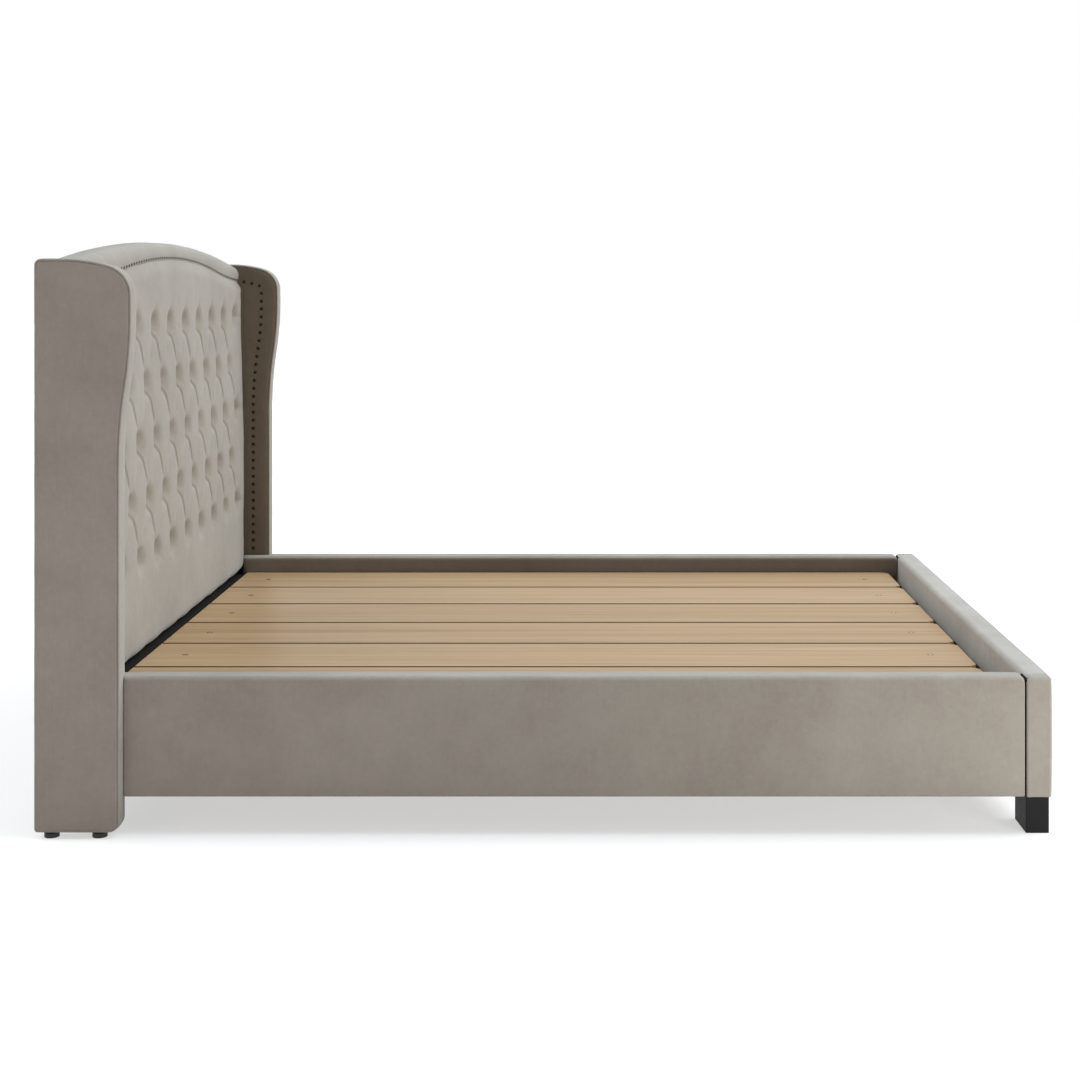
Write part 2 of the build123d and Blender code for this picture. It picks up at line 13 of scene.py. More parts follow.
import bmesh
import bpy
import numpy as np
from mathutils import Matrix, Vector, noise


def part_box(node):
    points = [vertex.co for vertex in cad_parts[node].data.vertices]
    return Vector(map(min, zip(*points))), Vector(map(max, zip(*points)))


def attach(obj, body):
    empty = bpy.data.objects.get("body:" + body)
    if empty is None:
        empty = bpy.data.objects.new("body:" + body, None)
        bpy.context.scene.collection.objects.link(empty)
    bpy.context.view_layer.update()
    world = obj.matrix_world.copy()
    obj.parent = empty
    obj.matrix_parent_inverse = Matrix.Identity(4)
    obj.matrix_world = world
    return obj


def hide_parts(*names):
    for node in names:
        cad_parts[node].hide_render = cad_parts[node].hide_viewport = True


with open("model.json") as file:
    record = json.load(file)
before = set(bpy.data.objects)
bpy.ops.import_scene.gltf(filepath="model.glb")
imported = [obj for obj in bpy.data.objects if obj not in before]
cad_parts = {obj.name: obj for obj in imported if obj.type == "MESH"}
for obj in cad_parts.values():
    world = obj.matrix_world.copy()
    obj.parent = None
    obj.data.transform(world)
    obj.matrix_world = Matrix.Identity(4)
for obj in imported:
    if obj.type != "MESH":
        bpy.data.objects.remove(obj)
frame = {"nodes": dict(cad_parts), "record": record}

scene = bpy.context.scene
scene.view_settings.view_transform = "Standard"
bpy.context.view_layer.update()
nodes = frame["nodes"]
bed_body = "bed_frame"

# %% [markdown]
# Camera
#
# The bed is seen from its side, level, from about half the height of a room. A view camera keeps
# upright lines upright when it stays level and its lens is shifted down, and Blender's camera has
# the same shift. It is used here because the headboard's posts stay parallel that way.

# %% Place the camera
camera_place = (0.12775, -4.5357, 1.2341)
camera_lens = 55.835
camera_shift = (-0.05783, -0.24284)
level_turn = math.radians(90)


def add_camera():
    """A level camera that looks along +Y, with its lens shifted instead of tilted."""
    data = bpy.data.cameras.new("side_camera")
    data.sensor_width = 36
    data.lens = camera_lens
    data.shift_x, data.shift_y = camera_shift
    made = bpy.data.objects.new("side_camera", data)
    made.location = camera_place
    made.rotation_euler = (level_turn, 0, 0)
    scene.collection.objects.link(made)
    return made


scene.camera = add_camera()
print("camera at", tuple(scene.camera.location), "lens", camera_lens)

# %% [markdown]
# Small tools for shader nodes
#
# A material is a chain of nodes, and written out in full each node takes several lines. These
# helpers add one node in one call, so that a material below reads as a recipe. A value goes into
# a socket as it is, and another node's output is linked to it.

# %% Node helpers
def feed(tree, socket, value):
    """Link an output to a socket, or set the socket to a plain value."""
    if isinstance(value, bpy.types.NodeSocket):
        tree.links.new(value, socket)
    else:
        socket.default_value = value


def put(tree, kind, settings=(), **inputs):
    """Add a shader node. An input's name has _ where the socket's name has a space."""
    made = tree.nodes.new("ShaderNode" + kind)
    for name, value in dict(settings).items():
        setattr(made, name, value)
    for name, value in inputs.items():
        feed(tree, made.inputs[name.replace("_", " ")], value)
    return made


def calc(tree, operation, *values):
    """A Math node's result."""
    made = tree.nodes.new("ShaderNodeMath")
    made.operation = operation
    for socket, value in zip(made.inputs, values):
        feed(tree, socket, value)
    return made.outputs[0]


def mix_colours(tree, factor, first, second, way="MIX"):
    """Two colours mixed by a factor."""
    made = tree.nodes.new("ShaderNodeMix")
    made.data_type = "RGBA"
    made.blend_type = way
    for index, value in ((0, factor), (6, first), (7, second)):
        feed(tree, made.inputs[index], value)
    return made.outputs[2]


def stretch(tree, value, from_low, from_high, to_low, to_high):
    """A value carried from one range to another, and kept inside it."""
    made = put(tree, "MapRange", {"clamp": True}, Value=value)
    for name, number in (("From Min", from_low), ("From Max", from_high),
                         ("To Min", to_low), ("To Max", to_high)):
        feed(tree, made.inputs[name], number)
    return made.outputs[0]


def calc_vector(tree, operation, *values):
    """A Vector Math node's two results: its vector and its plain value."""
    made = tree.nodes.new("ShaderNodeVectorMath")
    made.operation = operation
    for socket, value in zip(made.inputs, values):
        feed(tree, socket, value)
    return made.outputs[0], made.outputs[1]


def srgb(red, green, blue):
    """A colour given in 0 to 255, as the linear colour that shaders use."""
    shares = [value / 255 for value in (red, green, blue)]
    return tuple(s / 12.92 if s < 0.04045 else ((s + 0.055) / 1.055) ** 2.4 for s in shares) + (1,)


def start_group(name, inputs, outputs):
    """A new node group: inputs with their first values, and outputs, all plain numbers."""
    tree = bpy.data.node_groups.new(name, "ShaderNodeTree")
    for label, value in inputs.items():
        socket = tree.interface.new_socket(label, in_out="INPUT", socket_type="NodeSocketFloat")
        socket.default_value = value
    for label in outputs:
        tree.interface.new_socket(label, in_out="OUTPUT", socket_type="NodeSocketFloat")
    start = tree.nodes.new("NodeGroupInput").outputs
    end = tree.nodes.new("NodeGroupOutput").inputs
    return tree, start, end


def use_group(tree, name, **inputs):
    """Place a node group in a material with its own values."""
    made = tree.nodes.new("ShaderNodeGroup")
    made.node_tree = bpy.data.node_groups[name]
    for label, value in inputs.items():
        feed(tree, made.inputs[label.replace("_", " ")], value)
    return made.outputs


print("helpers ready")

# %% [markdown]
# Floor, background and light
#
# The bed stands on a plain pale floor in soft studio light. The light comes mostly from above and
# from the foot of the bed, so the headboard's face is bright and the inside of the far wing is
# deep in shade. A dome of light that changes smoothly with direction gives that everywhere on the
# floor, also far away, where a lamp would fall off. Two wide suns add softer shading from the
# foot end and the head end, and two small soft boxes lift the ends of the near side. Camera rays
# see a plain white background and floor, while light that bounces off the floor keeps a warmer,
# darker tone of its own, as it would in a room.

# %% Light dome
dome_direction = Vector((0.48, 0.42, 0.77)).normalized()
dome_bright = 1.1
dome_dim = 0.01
dome_edge = 0.3
dome_full = 0.95
dome_colour = (0.91, 0.96, 1.0)


def seen_directly(tree):
    """1 where the camera looks at a surface itself, or at it in a mirror or through glass."""
    path = tree.nodes.new("ShaderNodeLightPath").outputs
    mirrored = calc(tree, "MAXIMUM", path["Is Glossy Ray"], path["Is Transmission Ray"])
    return calc(tree, "MAXIMUM", path["Is Camera Ray"], mirrored)


def build_world():
    """A dome that is bright towards its own direction and dim away from it."""
    world = bpy.data.worlds.new("studio_dome")
    world.use_nodes = True
    tree = world.node_tree
    tree.nodes.clear()
    direction = tree.nodes.new("ShaderNodeTexCoord").outputs["Generated"]
    _, towards = calc_vector(tree, "DOT_PRODUCT", direction, dome_direction)
    level = stretch(tree, towards, dome_edge, dome_full, dome_dim, dome_bright)
    light = put(tree, "Background", Color=(*dome_colour, 1), Strength=level)
    white = put(tree, "Background", Color=(1, 1, 1, 1), Strength=1.0)
    mixed = put(tree, "MixShader", Fac=seen_directly(tree))
    tree.links.new(light.outputs[0], mixed.inputs[1])
    tree.links.new(white.outputs[0], mixed.inputs[2])
    put(tree, "OutputWorld", Surface=mixed.outputs[0])
    scene.world = world


build_world()
print("dome from", dome_dim, "to", dome_bright)

# %% Suns
# Each sun has the direction it shines from, its strength, its softness in degrees and its colour.
suns = {
    "key_sun": ((0.62, 0.06, 0.78), 1.6, 34, (0.91, 0.96, 1.0)),
    "back_sun": ((-0.7, 0.2, 0.69), 1.45, 50, (0.91, 0.96, 1.0)),
}


def add_lamp(name, kind, strength, colour, direction, place=(0, 0, 0)):
    """A lamp that stands at a place, on the side that the direction points to."""
    data = bpy.data.lights.new(name, kind)
    data.energy = strength
    data.color = colour
    made = bpy.data.objects.new(name, data)
    made.location = place
    made.rotation_mode = "QUATERNION"
    made.rotation_quaternion = Vector(direction).to_track_quat("Z", "Y")
    scene.collection.objects.link(made)
    return data


for sun_name, (direction, strength, softness, colour) in suns.items():
    add_lamp(sun_name, "SUN", strength, colour, direction).angle = math.radians(softness)
print("suns", list(suns))

# %% Soft boxes
# Each soft box has its place, the point it is aimed at, its width, its watts and its colour.
soft_boxes = {
    "foot_soft_box": ((2.1, -2.2, 0.3), (1.15, -0.83, 0.2), 0.7, 21, (0.98, 1.0, 0.97)),
    "head_soft_box": ((-2.3, -2.5, 0.8), (-0.6, -0.85, 0.45), 1.3, 7, (1.0, 0.91, 0.87)),
}
for box_name, (place, aim, size, watts, colour) in soft_boxes.items():
    away = Vector(place) - Vector(aim)
    add_lamp(box_name, "AREA", watts, colour, away, place).size = size
print("soft boxes", list(soft_boxes))

# %% Floor
floor_half = 40
floor_tone = (0.6, 0.53, 0.51, 1)
floor_seen = 0.62
floor_glow = 0.56


def add_floor():
    """A pale floor that still takes the bed's shadow."""
    corners = [(-floor_half, -floor_half, 0), (floor_half, -floor_half, 0),
               (floor_half, floor_half, 0), (-floor_half, floor_half, 0)]
    mesh = bpy.data.meshes.new("studio_floor")
    mesh.from_pydata(corners, [], [(0, 1, 2, 3)])
    made = bpy.data.objects.new("studio_floor", mesh)
    scene.collection.objects.link(made)
    finish = bpy.data.materials.new("pale_floor")
    finish.use_nodes = True
    tree = finish.node_tree
    tree.nodes.clear()
    seen = seen_directly(tree)
    tone = mix_colours(tree, seen, floor_tone, (floor_seen, floor_seen, floor_seen, 1))
    matt = put(tree, "BsdfDiffuse", Color=tone)
    glow = put(tree, "Emission", Color=(1, 1, 1, 1))
    feed(tree, glow.inputs["Strength"], calc(tree, "MULTIPLY", seen, floor_glow))
    both = tree.nodes.new("ShaderNodeAddShader")
    tree.links.new(matt.outputs[0], both.inputs[0])
    tree.links.new(glow.outputs[0], both.inputs[1])
    put(tree, "OutputMaterial", Surface=both.outputs[0])
    mesh.materials.append(finish)


add_floor()
print("floor", 2 * floor_half, "m wide")

# %% [markdown]
# Woven cloth, as a node group
#
# The upholstery is a short, dense, velvet-like cloth. Close up it shows a fine weave, and from
# further off thin upright streaks where a thread is thicker. The pattern is worked out from the
# position on the bed, and the surface's own direction picks the two axes that lie in the cloth.
# That needs no unwrapped texture map, and it never stretches on a curved piece.

# %% Woven cloth group
def build_woven_cloth():
    """Thread height and thread streaks of a plain woven cloth."""
    tree, start, end = start_group(
        "Woven Cloth",
        {"Thread Size": 0.0011, "Streak Width": 0.0035, "Streak Length": 0.11},
        ["Height", "Streaks"])
    place = tree.nodes.new("ShaderNodeTexCoord").outputs["Object"]
    facing = tree.nodes.new("ShaderNodeNewGeometry").outputs["Normal"]
    turns = calc(tree, "DIVIDE", 2 * math.pi, start["Thread Size"])
    axes = put(tree, "SeparateXYZ", Vector=place).outputs
    sides = put(tree, "SeparateXYZ", Vector=facing).outputs
    waves = [calc(tree, "SINE", calc(tree, "MULTIPLY", axis, turns)) for axis in axes]
    height = 0.0
    for index in range(3):
        crossing = calc(tree, "MULTIPLY", waves[index - 2], waves[index - 1])
        share = calc(tree, "ABSOLUTE", sides[index])
        height = calc(tree, "MULTIPLY_ADD", crossing, share, height)
    narrow = calc(tree, "DIVIDE", 1.0, start["Streak Width"])
    long = calc(tree, "DIVIDE", 1.0, start["Streak Length"])
    scale = put(tree, "CombineXYZ", X=narrow, Y=narrow, Z=long).outputs[0]
    drawn_out, _ = calc_vector(tree, "MULTIPLY", place, scale)
    streaks = put(tree, "TexNoise", Vector=drawn_out, Scale=1.0, Detail=3.0, Roughness=0.6)
    feed(tree, end["Height"], height)
    feed(tree, end["Streaks"], streaks.outputs[0])


def build_nap_smudges():
    """Soft patches where the nap of the cloth has been brushed another way."""
    tree, start, end = start_group("Nap Smudges", {"Patch Size": 0.2, "Seed": 0.0}, ["Patches"])
    place = tree.nodes.new("ShaderNodeTexCoord").outputs["Object"]
    scale = calc(tree, "DIVIDE", 1.0, start["Patch Size"])
    wide = put(tree, "TexNoise", {"noise_dimensions": "4D"}, Vector=place, W=start["Seed"],
               Scale=scale, Detail=2.0, Roughness=0.45, Distortion=0.6)
    tighter = calc(tree, "MULTIPLY", scale, 4.0)
    fine = put(tree, "TexNoise", {"noise_dimensions": "4D"}, Vector=place, W=start["Seed"],
               Scale=tighter, Detail=4.0, Roughness=0.6)
    both = calc(tree, "MULTIPLY_ADD", fine.outputs[0], 0.35,
                calc(tree, "MULTIPLY", wide.outputs[0], 0.65))
    feed(tree, end["Patches"], stretch(tree, both, 0.34, 0.66, 0.0, 1.0))


build_woven_cloth()
build_nap_smudges()
print("groups", sorted(bpy.data.node_groups.keys()))

# %% [markdown]
# Wood grain, as a node group
#
# A sawn board shows its year rings cut lengthwise: long bands that wander a little, thin dark
# pores along them, and a tone of its own. Stretched noise gives the bands. Which board a point
# belongs to is counted across the bed from the boards' own width, so each slat starts its
# pattern at another place and the grain doesn't run on from one slat to the next. The same count
# gives the distance to a board's edges and screws, where the wood is painted darker: painted shade
# of the gaps between the boards and of the screws' seats.

# %% Wood grain group
# How far the painted shade reaches at the boards' edges and round the screws.
edge_shade_reach = (0.0008, 0.0028)
screw_shade_reach = (0.0062, 0.0085)
pore_fineness = (9.0, 14.0, 14.0)
pattern_jump = 37.0


def build_wood_grain():
    """Year bands, pores and the tone of each board, with the boards counted across Y."""
    tree, start, end = start_group(
        "Wood Grain",
        {"Band Width": 0.02, "Band Length": 1.4, "Board Pitch": 0.25, "Board Width": 0.24,
         "Board Start": 0.0, "Head Screws": -1.0, "Foot Screws": 1.0},
        ["Bands", "Pores", "Tone", "Edges", "Screw Shade"])
    place = tree.nodes.new("ShaderNodeTexCoord").outputs["Object"]
    axes = put(tree, "SeparateXYZ", Vector=place).outputs
    from_start = calc(tree, "SUBTRACT", axes["Y"], start["Board Start"])
    board = calc(tree, "FLOOR", calc(tree, "DIVIDE", from_start, start["Board Pitch"]))
    inside = calc(tree, "FLOORED_MODULO", from_start, start["Board Pitch"])
    half_board = calc(tree, "DIVIDE", start["Board Width"], 2.0)
    from_middle = calc(tree, "SUBTRACT", inside, half_board)
    to_edge = calc(tree, "SUBTRACT", half_board, calc(tree, "ABSOLUTE", from_middle))
    to_head = calc(tree, "ABSOLUTE", calc(tree, "SUBTRACT", axes["X"], start["Head Screws"]))
    to_foot = calc(tree, "ABSOLUTE", calc(tree, "SUBTRACT", axes["X"], start["Foot Screws"]))
    aside = put(tree, "CombineXYZ", X=calc(tree, "MINIMUM", to_head, to_foot), Y=from_middle)
    _, to_screw = calc_vector(tree, "LENGTH", aside.outputs[0])
    chance = put(tree, "TexWhiteNoise", {"noise_dimensions": "1D"}, W=board).outputs["Value"]
    shift = calc(tree, "MULTIPLY", chance, pattern_jump)
    along = calc(tree, "DIVIDE", axes["X"], start["Band Length"])
    along = calc(tree, "ADD", along, shift)
    across = calc(tree, "DIVIDE", axes["Y"], start["Band Width"])
    deep = calc(tree, "DIVIDE", axes["Z"], start["Band Width"])
    bent = put(tree, "CombineXYZ", X=along, Y=across, Z=deep).outputs[0]
    bands = put(tree, "TexNoise", Vector=bent, Scale=1.0, Detail=5.0, Roughness=0.72,
                Distortion=0.9)
    fine, _ = calc_vector(tree, "MULTIPLY", bent, pore_fineness)
    pores = put(tree, "TexNoise", Vector=fine, Scale=1.0, Detail=2.0, Roughness=0.5)
    feed(tree, end["Bands"], bands.outputs[0])
    feed(tree, end["Pores"], stretch(tree, pores.outputs[0], 0.56, 0.7, 0.0, 1.0))
    feed(tree, end["Tone"], chance)
    # Masks for painted shade at the boards' edges and round the screws.
    feed(tree, end["Edges"], stretch(tree, to_edge, *edge_shade_reach, 1.0, 0.0))
    feed(tree, end["Screw Shade"], stretch(tree, to_screw, *screw_shade_reach, 1.0, 0.0))


def build_scuffs():
    """Dust specks and rubbed patches for hard, dark surfaces."""
    tree, start, end = start_group(
        "Scuffs", {"Speck Size": 0.004, "Amount": 0.3}, ["Rubbed", "Height"])
    place = tree.nodes.new("ShaderNodeTexCoord").outputs["Object"]
    scale = calc(tree, "DIVIDE", 1.0, start["Speck Size"])
    specks = put(tree, "TexNoise", Vector=place, Scale=scale, Detail=6.0, Roughness=0.7)
    low = calc(tree, "SUBTRACT", 0.75, calc(tree, "MULTIPLY", start["Amount"], 0.3))
    rubbed = stretch(tree, specks.outputs[0], low, 0.8, 0.0, 1.0)
    feed(tree, end["Rubbed"], rubbed)
    feed(tree, end["Height"], specks.outputs[0])


build_wood_grain()
build_scuffs()
print("groups", sorted(bpy.data.node_groups.keys()))

# %% [markdown]
# Cloth materials
#
# The taupe cloth gets four layers: wide brushed patches, small flecks, upright thread streaks and
# the weave. The first three change the colour by a few percent, and the streaks and the weave go
# into the bump. The soft shine that velvet has at a grazing angle is the shader's own sheen, set
# to fixed values. Darker and lighter copies of the same cloth are painted shade and painted light:
# a darker one on the wings' inner faces and on the face board behind the pad, a half-dark one on
# the rails' inner flaps, and a lighter one on the footboard's top and inside.

# %% Upholstery cloth and lining
def start_material(name):
    """An empty node material and its tree."""
    made = bpy.data.materials.new(name)
    made.use_nodes = True
    made.node_tree.nodes.clear()
    return made, made.node_tree


def end_material(tree, colour, roughness, normal, **fixed):
    """The Principled shader that ends a material. Fixed values have _ for a space."""
    shader = put(tree, "BsdfPrincipled", Base_Color=colour, Roughness=roughness, Normal=normal,
                 **fixed)
    put(tree, "OutputMaterial", Surface=shader.outputs[0])


def build_upholstery(name, darker, lighter):
    """Taupe velvet-like cloth, between two tones of its brushed nap."""
    made, tree = start_material(name)
    cloth = use_group(tree, "Woven Cloth", Thread_Size=0.0012, Streak_Width=0.0022,
                      Streak_Length=0.07)
    patches = use_group(tree, "Nap Smudges", Patch_Size=0.24, Seed=2.0)["Patches"]
    brushed = mix_colours(tree, patches, darker, lighter)
    streaks = stretch(tree, cloth["Streaks"], 0.32, 0.68, 0.97, 1.025)
    flecks = use_group(tree, "Nap Smudges", Patch_Size=0.012, Seed=5.0)["Patches"]
    tone = calc(tree, "MULTIPLY", streaks, stretch(tree, flecks, 0.0, 1.0, 0.955, 1.045))
    shade = put(tree, "CombineXYZ", X=tone, Y=tone, Z=tone).outputs[0]
    colour = mix_colours(tree, 1.0, brushed, shade, "MULTIPLY")
    roughness = stretch(tree, patches, 0.0, 1.0, 0.86, 0.78)
    weave = put(tree, "Bump", Strength=0.22, Distance=0.00025, Height=cloth["Height"])
    slub = put(tree, "Bump", Strength=0.25, Distance=0.0006, Height=cloth["Streaks"],
               Normal=weave.outputs[0])
    end_material(tree, colour, roughness, slub.outputs[0], Sheen_Weight=0.42,
                 Sheen_Roughness=0.4, Sheen_Tint=srgb(222, 230, 234), Specular_IOR_Level=0.2)
    return made


def build_lining():
    """Thin black non-woven lining cloth."""
    made, tree = start_material("black_lining_cloth")
    cloth = use_group(tree, "Woven Cloth", Thread_Size=0.0016, Streak_Width=0.006,
                      Streak_Length=0.03)
    colour = mix_colours(tree, cloth["Streaks"], srgb(16, 15, 14), srgb(32, 30, 28))
    bump = put(tree, "Bump", Strength=0.4, Distance=0.0004, Height=cloth["Height"])
    end_material(tree, colour, 0.92, bump.outputs[0], Specular_IOR_Level=0.2)
    return made


upholstery = build_upholstery("taupe_upholstery", srgb(165, 158, 148), srgb(177, 171, 161))
# Darker, half-dark and lighter copies of the same cloth: painted shade, painted half shade and
# painted light.
painted_shade_cloth = build_upholstery("taupe_upholstery_painted_shade", srgb(119, 108, 95),
                              srgb(128, 117, 104))
painted_half_shade_cloth = build_upholstery("taupe_upholstery_painted_half_shade", srgb(131, 123, 114),
                               srgb(140, 132, 123))
painted_light_cloth = build_upholstery("taupe_upholstery_painted_light", srgb(177, 171, 163),
                              srgb(197, 191, 183))
lining = build_lining()
print("cloth", [m.name for m in (upholstery, painted_shade_cloth, painted_half_shade_cloth, painted_light_cloth, lining)])

# %% [markdown]
# Wood materials
#
# The slats are pale planed boards with a thin, nearly matt lacquer. The lacquer is the shader's
# coat, at a low weight, over the wood's own colour, and the edges and screw seats get a painted
# shade. The hidden frame is plain sawn pine, duller and coarser, from the same grain group.

# %% Slat wood and frame timber
slat_low, slat_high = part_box("slat_1")
next_low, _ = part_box("slat_2")
board_pitch = next_low.y - slat_low.y
grain_range = (0.3, 0.7)
board_tone_spread = 0.12
pore_strength = 0.35
pore_depth = 0.6
screw_low, screw_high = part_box("slat_screws")
screw_head_radius = 0.0045


def build_wood(name, band_width, band_length, light, dark, pore, shade, roughness, **fixed):
    """Wood from the grain group, in its own colours, with painted shade along edges and round
    screws.
    """
    made, tree = start_material(name)
    grain = use_group(tree, "Wood Grain", Band_Width=band_width, Band_Length=band_length,
                      Board_Pitch=board_pitch, Board_Width=slat_high.y - slat_low.y,
                      Board_Start=slat_low.y, Head_Screws=screw_low.x + screw_head_radius,
                      Foot_Screws=screw_high.x - screw_head_radius)
    bands = stretch(tree, grain["Bands"], *grain_range, 0.0, 1.0)
    toned = stretch(tree, grain["Tone"], 0.0, 1.0, -board_tone_spread, board_tone_spread)
    colour = mix_colours(tree, calc(tree, "ADD", bands, toned), light, dark)
    pores = calc(tree, "MULTIPLY", grain["Pores"], pore_strength)
    colour = mix_colours(tree, pores, colour, pore)
    # Painted shade along the boards' edges and round the screws.
    colour = mix_colours(tree, grain["Edges"], colour, shade)
    colour = mix_colours(tree, grain["Screw Shade"], colour, shade)
    shine = stretch(tree, grain["Bands"], *grain_range, roughness, roughness + 0.08)
    sunk = calc(tree, "MULTIPLY", grain["Pores"], pore_depth)
    pressed = calc(tree, "SUBTRACT", grain["Bands"], sunk)
    bump = put(tree, "Bump", Strength=0.25, Distance=0.0004, Height=pressed)
    end_material(tree, colour, shine, bump.outputs[0], **fixed)
    return made


slat_wood = build_wood("lacquered_slat_wood", 0.024, 1.9, srgb(192, 164, 129),
                       srgb(164, 134, 99), srgb(124, 92, 60), srgb(58, 38, 22), 0.42,
                       Coat_Weight=0.05, Coat_Roughness=0.28, Specular_IOR_Level=0.1)
frame_timber = build_wood("sawn_frame_timber", 0.016, 0.5, srgb(205, 176, 134),
                          srgb(176, 142, 98), srgb(128, 94, 60), srgb(150, 118, 78), 0.62,
                          Specular_IOR_Level=0.3)
print("slat pitch", round(board_pitch, 4), "m")

# %% [markdown]
# Hard materials
#
# The nails are steel with an antique bronze finish, worn brighter in spots. The legs are painted
# black, the glides are moulded plastic, and the fasteners are bright zinc. All take their dust
# and rubbed spots from the same group, at another size and amount.

# %% Nails, paint, plastic, steel and padding
def build_hard(name, plain, rubbed, speck_size, amount, rough, bumpiness, **fixed):
    """A hard finish with rubbed specks of a second colour."""
    made, tree = start_material(name)
    scuffs = use_group(tree, "Scuffs", Speck_Size=speck_size, Amount=amount)
    colour = mix_colours(tree, scuffs["Rubbed"], plain, rubbed)
    roughness = stretch(tree, scuffs["Height"], 0.2, 0.8, rough - 0.06, rough + 0.1)
    bump = put(tree, "Bump", Strength=bumpiness, Distance=0.0004, Height=scuffs["Height"])
    end_material(tree, colour, roughness, bump.outputs[0], **fixed)
    return made


antique_nail = build_hard("antique_bronze_nail", srgb(40, 32, 24), srgb(112, 92, 68),
                          0.003, 0.3, 0.3, 0.15, Metallic=0.7)
black_paint = build_hard("black_painted_wood", srgb(20, 19, 19), srgb(40, 38, 36),
                         0.012, 0.25, 0.5, 0.25, Specular_IOR_Level=0.18)
black_plastic = build_hard("black_moulded_plastic", srgb(12, 12, 13), srgb(30, 30, 31),
                           0.005, 0.3, 0.46, 0.3)
zinc_steel = build_hard("bright_zinc_steel", srgb(188, 188, 186), srgb(140, 138, 132),
                        0.006, 0.5, 0.3, 0.15, Metallic=1.0)
padding = build_hard("white_padding", srgb(226, 222, 210), srgb(206, 200, 184),
                     0.004, 0.8, 0.95, 0.6)
slot_finishes = {
    "upholstery_fabric": upholstery, "black_cloth": lining, "antique_nail": antique_nail,
    "black_plastic": black_plastic, "black_wood": black_paint, "slat_wood": slat_wood,
    "frame_timber": frame_timber, "padding": padding, "zinc_steel": zinc_steel,
}
print("finishes", len(slot_finishes))

# %% [markdown]
# Dress the imported pieces
#
# The imported pieces keep their meshes, which are the real boards and fasteners. Each one only gets
# the finish of its material slot, as the record names it. The face board is covered in cloth
# before the pad is tied on, because it can be seen at the pad's round corners; it gets the darker
# copy of the cloth, which is painted shade behind the pad.

# %% Finish by slot
node_slots = {part["node"]: part["material_slot"] for part in frame["record"]["subparts"]}
for name, piece in nodes.items():
    finish = slot_finishes[node_slots[name]]
    if not piece.data.materials:
        piece.data.materials.append(finish)
    for index in range(len(piece.data.materials)):
        piece.data.materials[index] = finish
# The face board takes the darker copy of the cloth: painted shade behind the pad.
nodes["headboard_face_board"].data.materials[0] = painted_shade_cloth
print("dressed", len(node_slots), "nodes")

# %% [markdown]
# Small tools for meshes
#
# The cloth pieces are all made the same way: a grid of points follows the piece's shape, small
# moves along it draw in the seams and raise the padding, and the grid is closed into a solid. A
# formula gives the same folds on every run, and it can be checked against real sizes.

# %% Mesh helpers
def grid_faces(rows, columns, wrap=False):
    """Quads between the points of a grid stored row by row. Wrap joins last to first column."""
    across = columns if wrap else columns - 1
    faces = []
    for row in range(rows - 1):
        for column in range(across):
            here = row * columns + column
            beside = row * columns + (column + 1) % columns
            faces.append((here, beside, beside + columns, here + columns))
    return faces


def make_piece(name, points, faces, finish, stands_for):
    """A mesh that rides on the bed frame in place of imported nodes, smooth but for its end caps."""
    mesh = bpy.data.meshes.new(name)
    mesh.from_pydata([tuple(map(float, p)) for p in points], [], faces)
    shape = bmesh.new()
    shape.from_mesh(mesh)
    bmesh.ops.recalc_face_normals(shape, faces=shape.faces)
    shape.to_mesh(mesh)
    shape.free()
    for face in mesh.polygons:
        face.use_smooth = len(face.vertices) <= 4
    mesh.materials.append(finish)
    made = bpy.data.objects.new(name, mesh)
    scene.collection.objects.link(made)
    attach(made, bed_body)
    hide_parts(*stands_for)
    print(name, len(mesh.vertices), "points", len(mesh.polygons), "faces")
    return made


def give_faces_second_finish(piece, finish, belongs):
    """Give the faces that belong to a side a second material, such as a darker or lighter copy of
    the cloth that paints shade or light.
    """
    piece.data.materials.append(finish)
    for face in piece.data.polygons:
        if belongs(face):
            face.material_index = len(piece.data.materials) - 1


def border_loop(rows, columns):
    """The grid's outer points in order."""
    bottom = list(range(columns))
    right = [r * columns + columns - 1 for r in range(1, rows)]
    top = [(rows - 1) * columns + c for c in range(columns - 2, -1, -1)]
    left = [r * columns for r in range(rows - 2, 0, -1)]
    return bottom + right + top + left


def close_sheet(grid, axis, back_place, faces=None):
    """A grid of rows x columns x 3 closed with a rim and one flat face at a place on an axis."""
    rows, columns, _ = grid.shape
    points = grid.reshape(-1, 3)
    faces = list(faces or grid_faces(rows, columns))
    rim = border_loop(rows, columns)
    behind = points[rim].copy()
    behind[:, axis] = back_place
    first = len(points)
    count = len(rim)
    for i in range(count):
        j = (i + 1) % count
        faces.append((rim[i], first + i, first + j, rim[j]))
    faces.append(tuple(first + i for i in range(count)))
    return np.concatenate([points, behind]), faces


def loft(sections):
    """Closed loops of the same length joined into a solid, with both ends capped."""
    count = len(sections[0])
    faces = grid_faces(len(sections), count, wrap=True)
    faces.append(tuple(range(count)))
    last = (len(sections) - 1) * count
    faces.append(tuple(last + i for i in range(count)))
    return np.concatenate(sections), faces


def ease(value, low, high):
    """0 below low, 1 above high, and a smooth step between them."""
    share = np.clip((np.asarray(value, float) - low) / (high - low), 0, 1)
    return share * share * (3 - 2 * share)


def wander(points, size, seed):
    """Smooth noise from -1 to 1 at each point, with bumps about as large as size."""
    shift = Vector((seed * 7.3, seed * 3.1, seed * 5.7))
    return np.array([noise.noise(Vector(p) / size + shift) for p in points])


def swell(heights, low, high):
    """How full a padded face is at each height: 0 at both ends and 1 half way up."""
    share = np.clip((heights - low) / (high - low), 0, 1)
    return np.sqrt(np.clip(np.sin(np.pi * share), 0, 1))


def at_face(places, face, reach=0.004, flat=0.0005):
    """1 for places at a flat face, down to 0 for places further inside than its reach."""
    return ease(places, face - reach, face - flat)


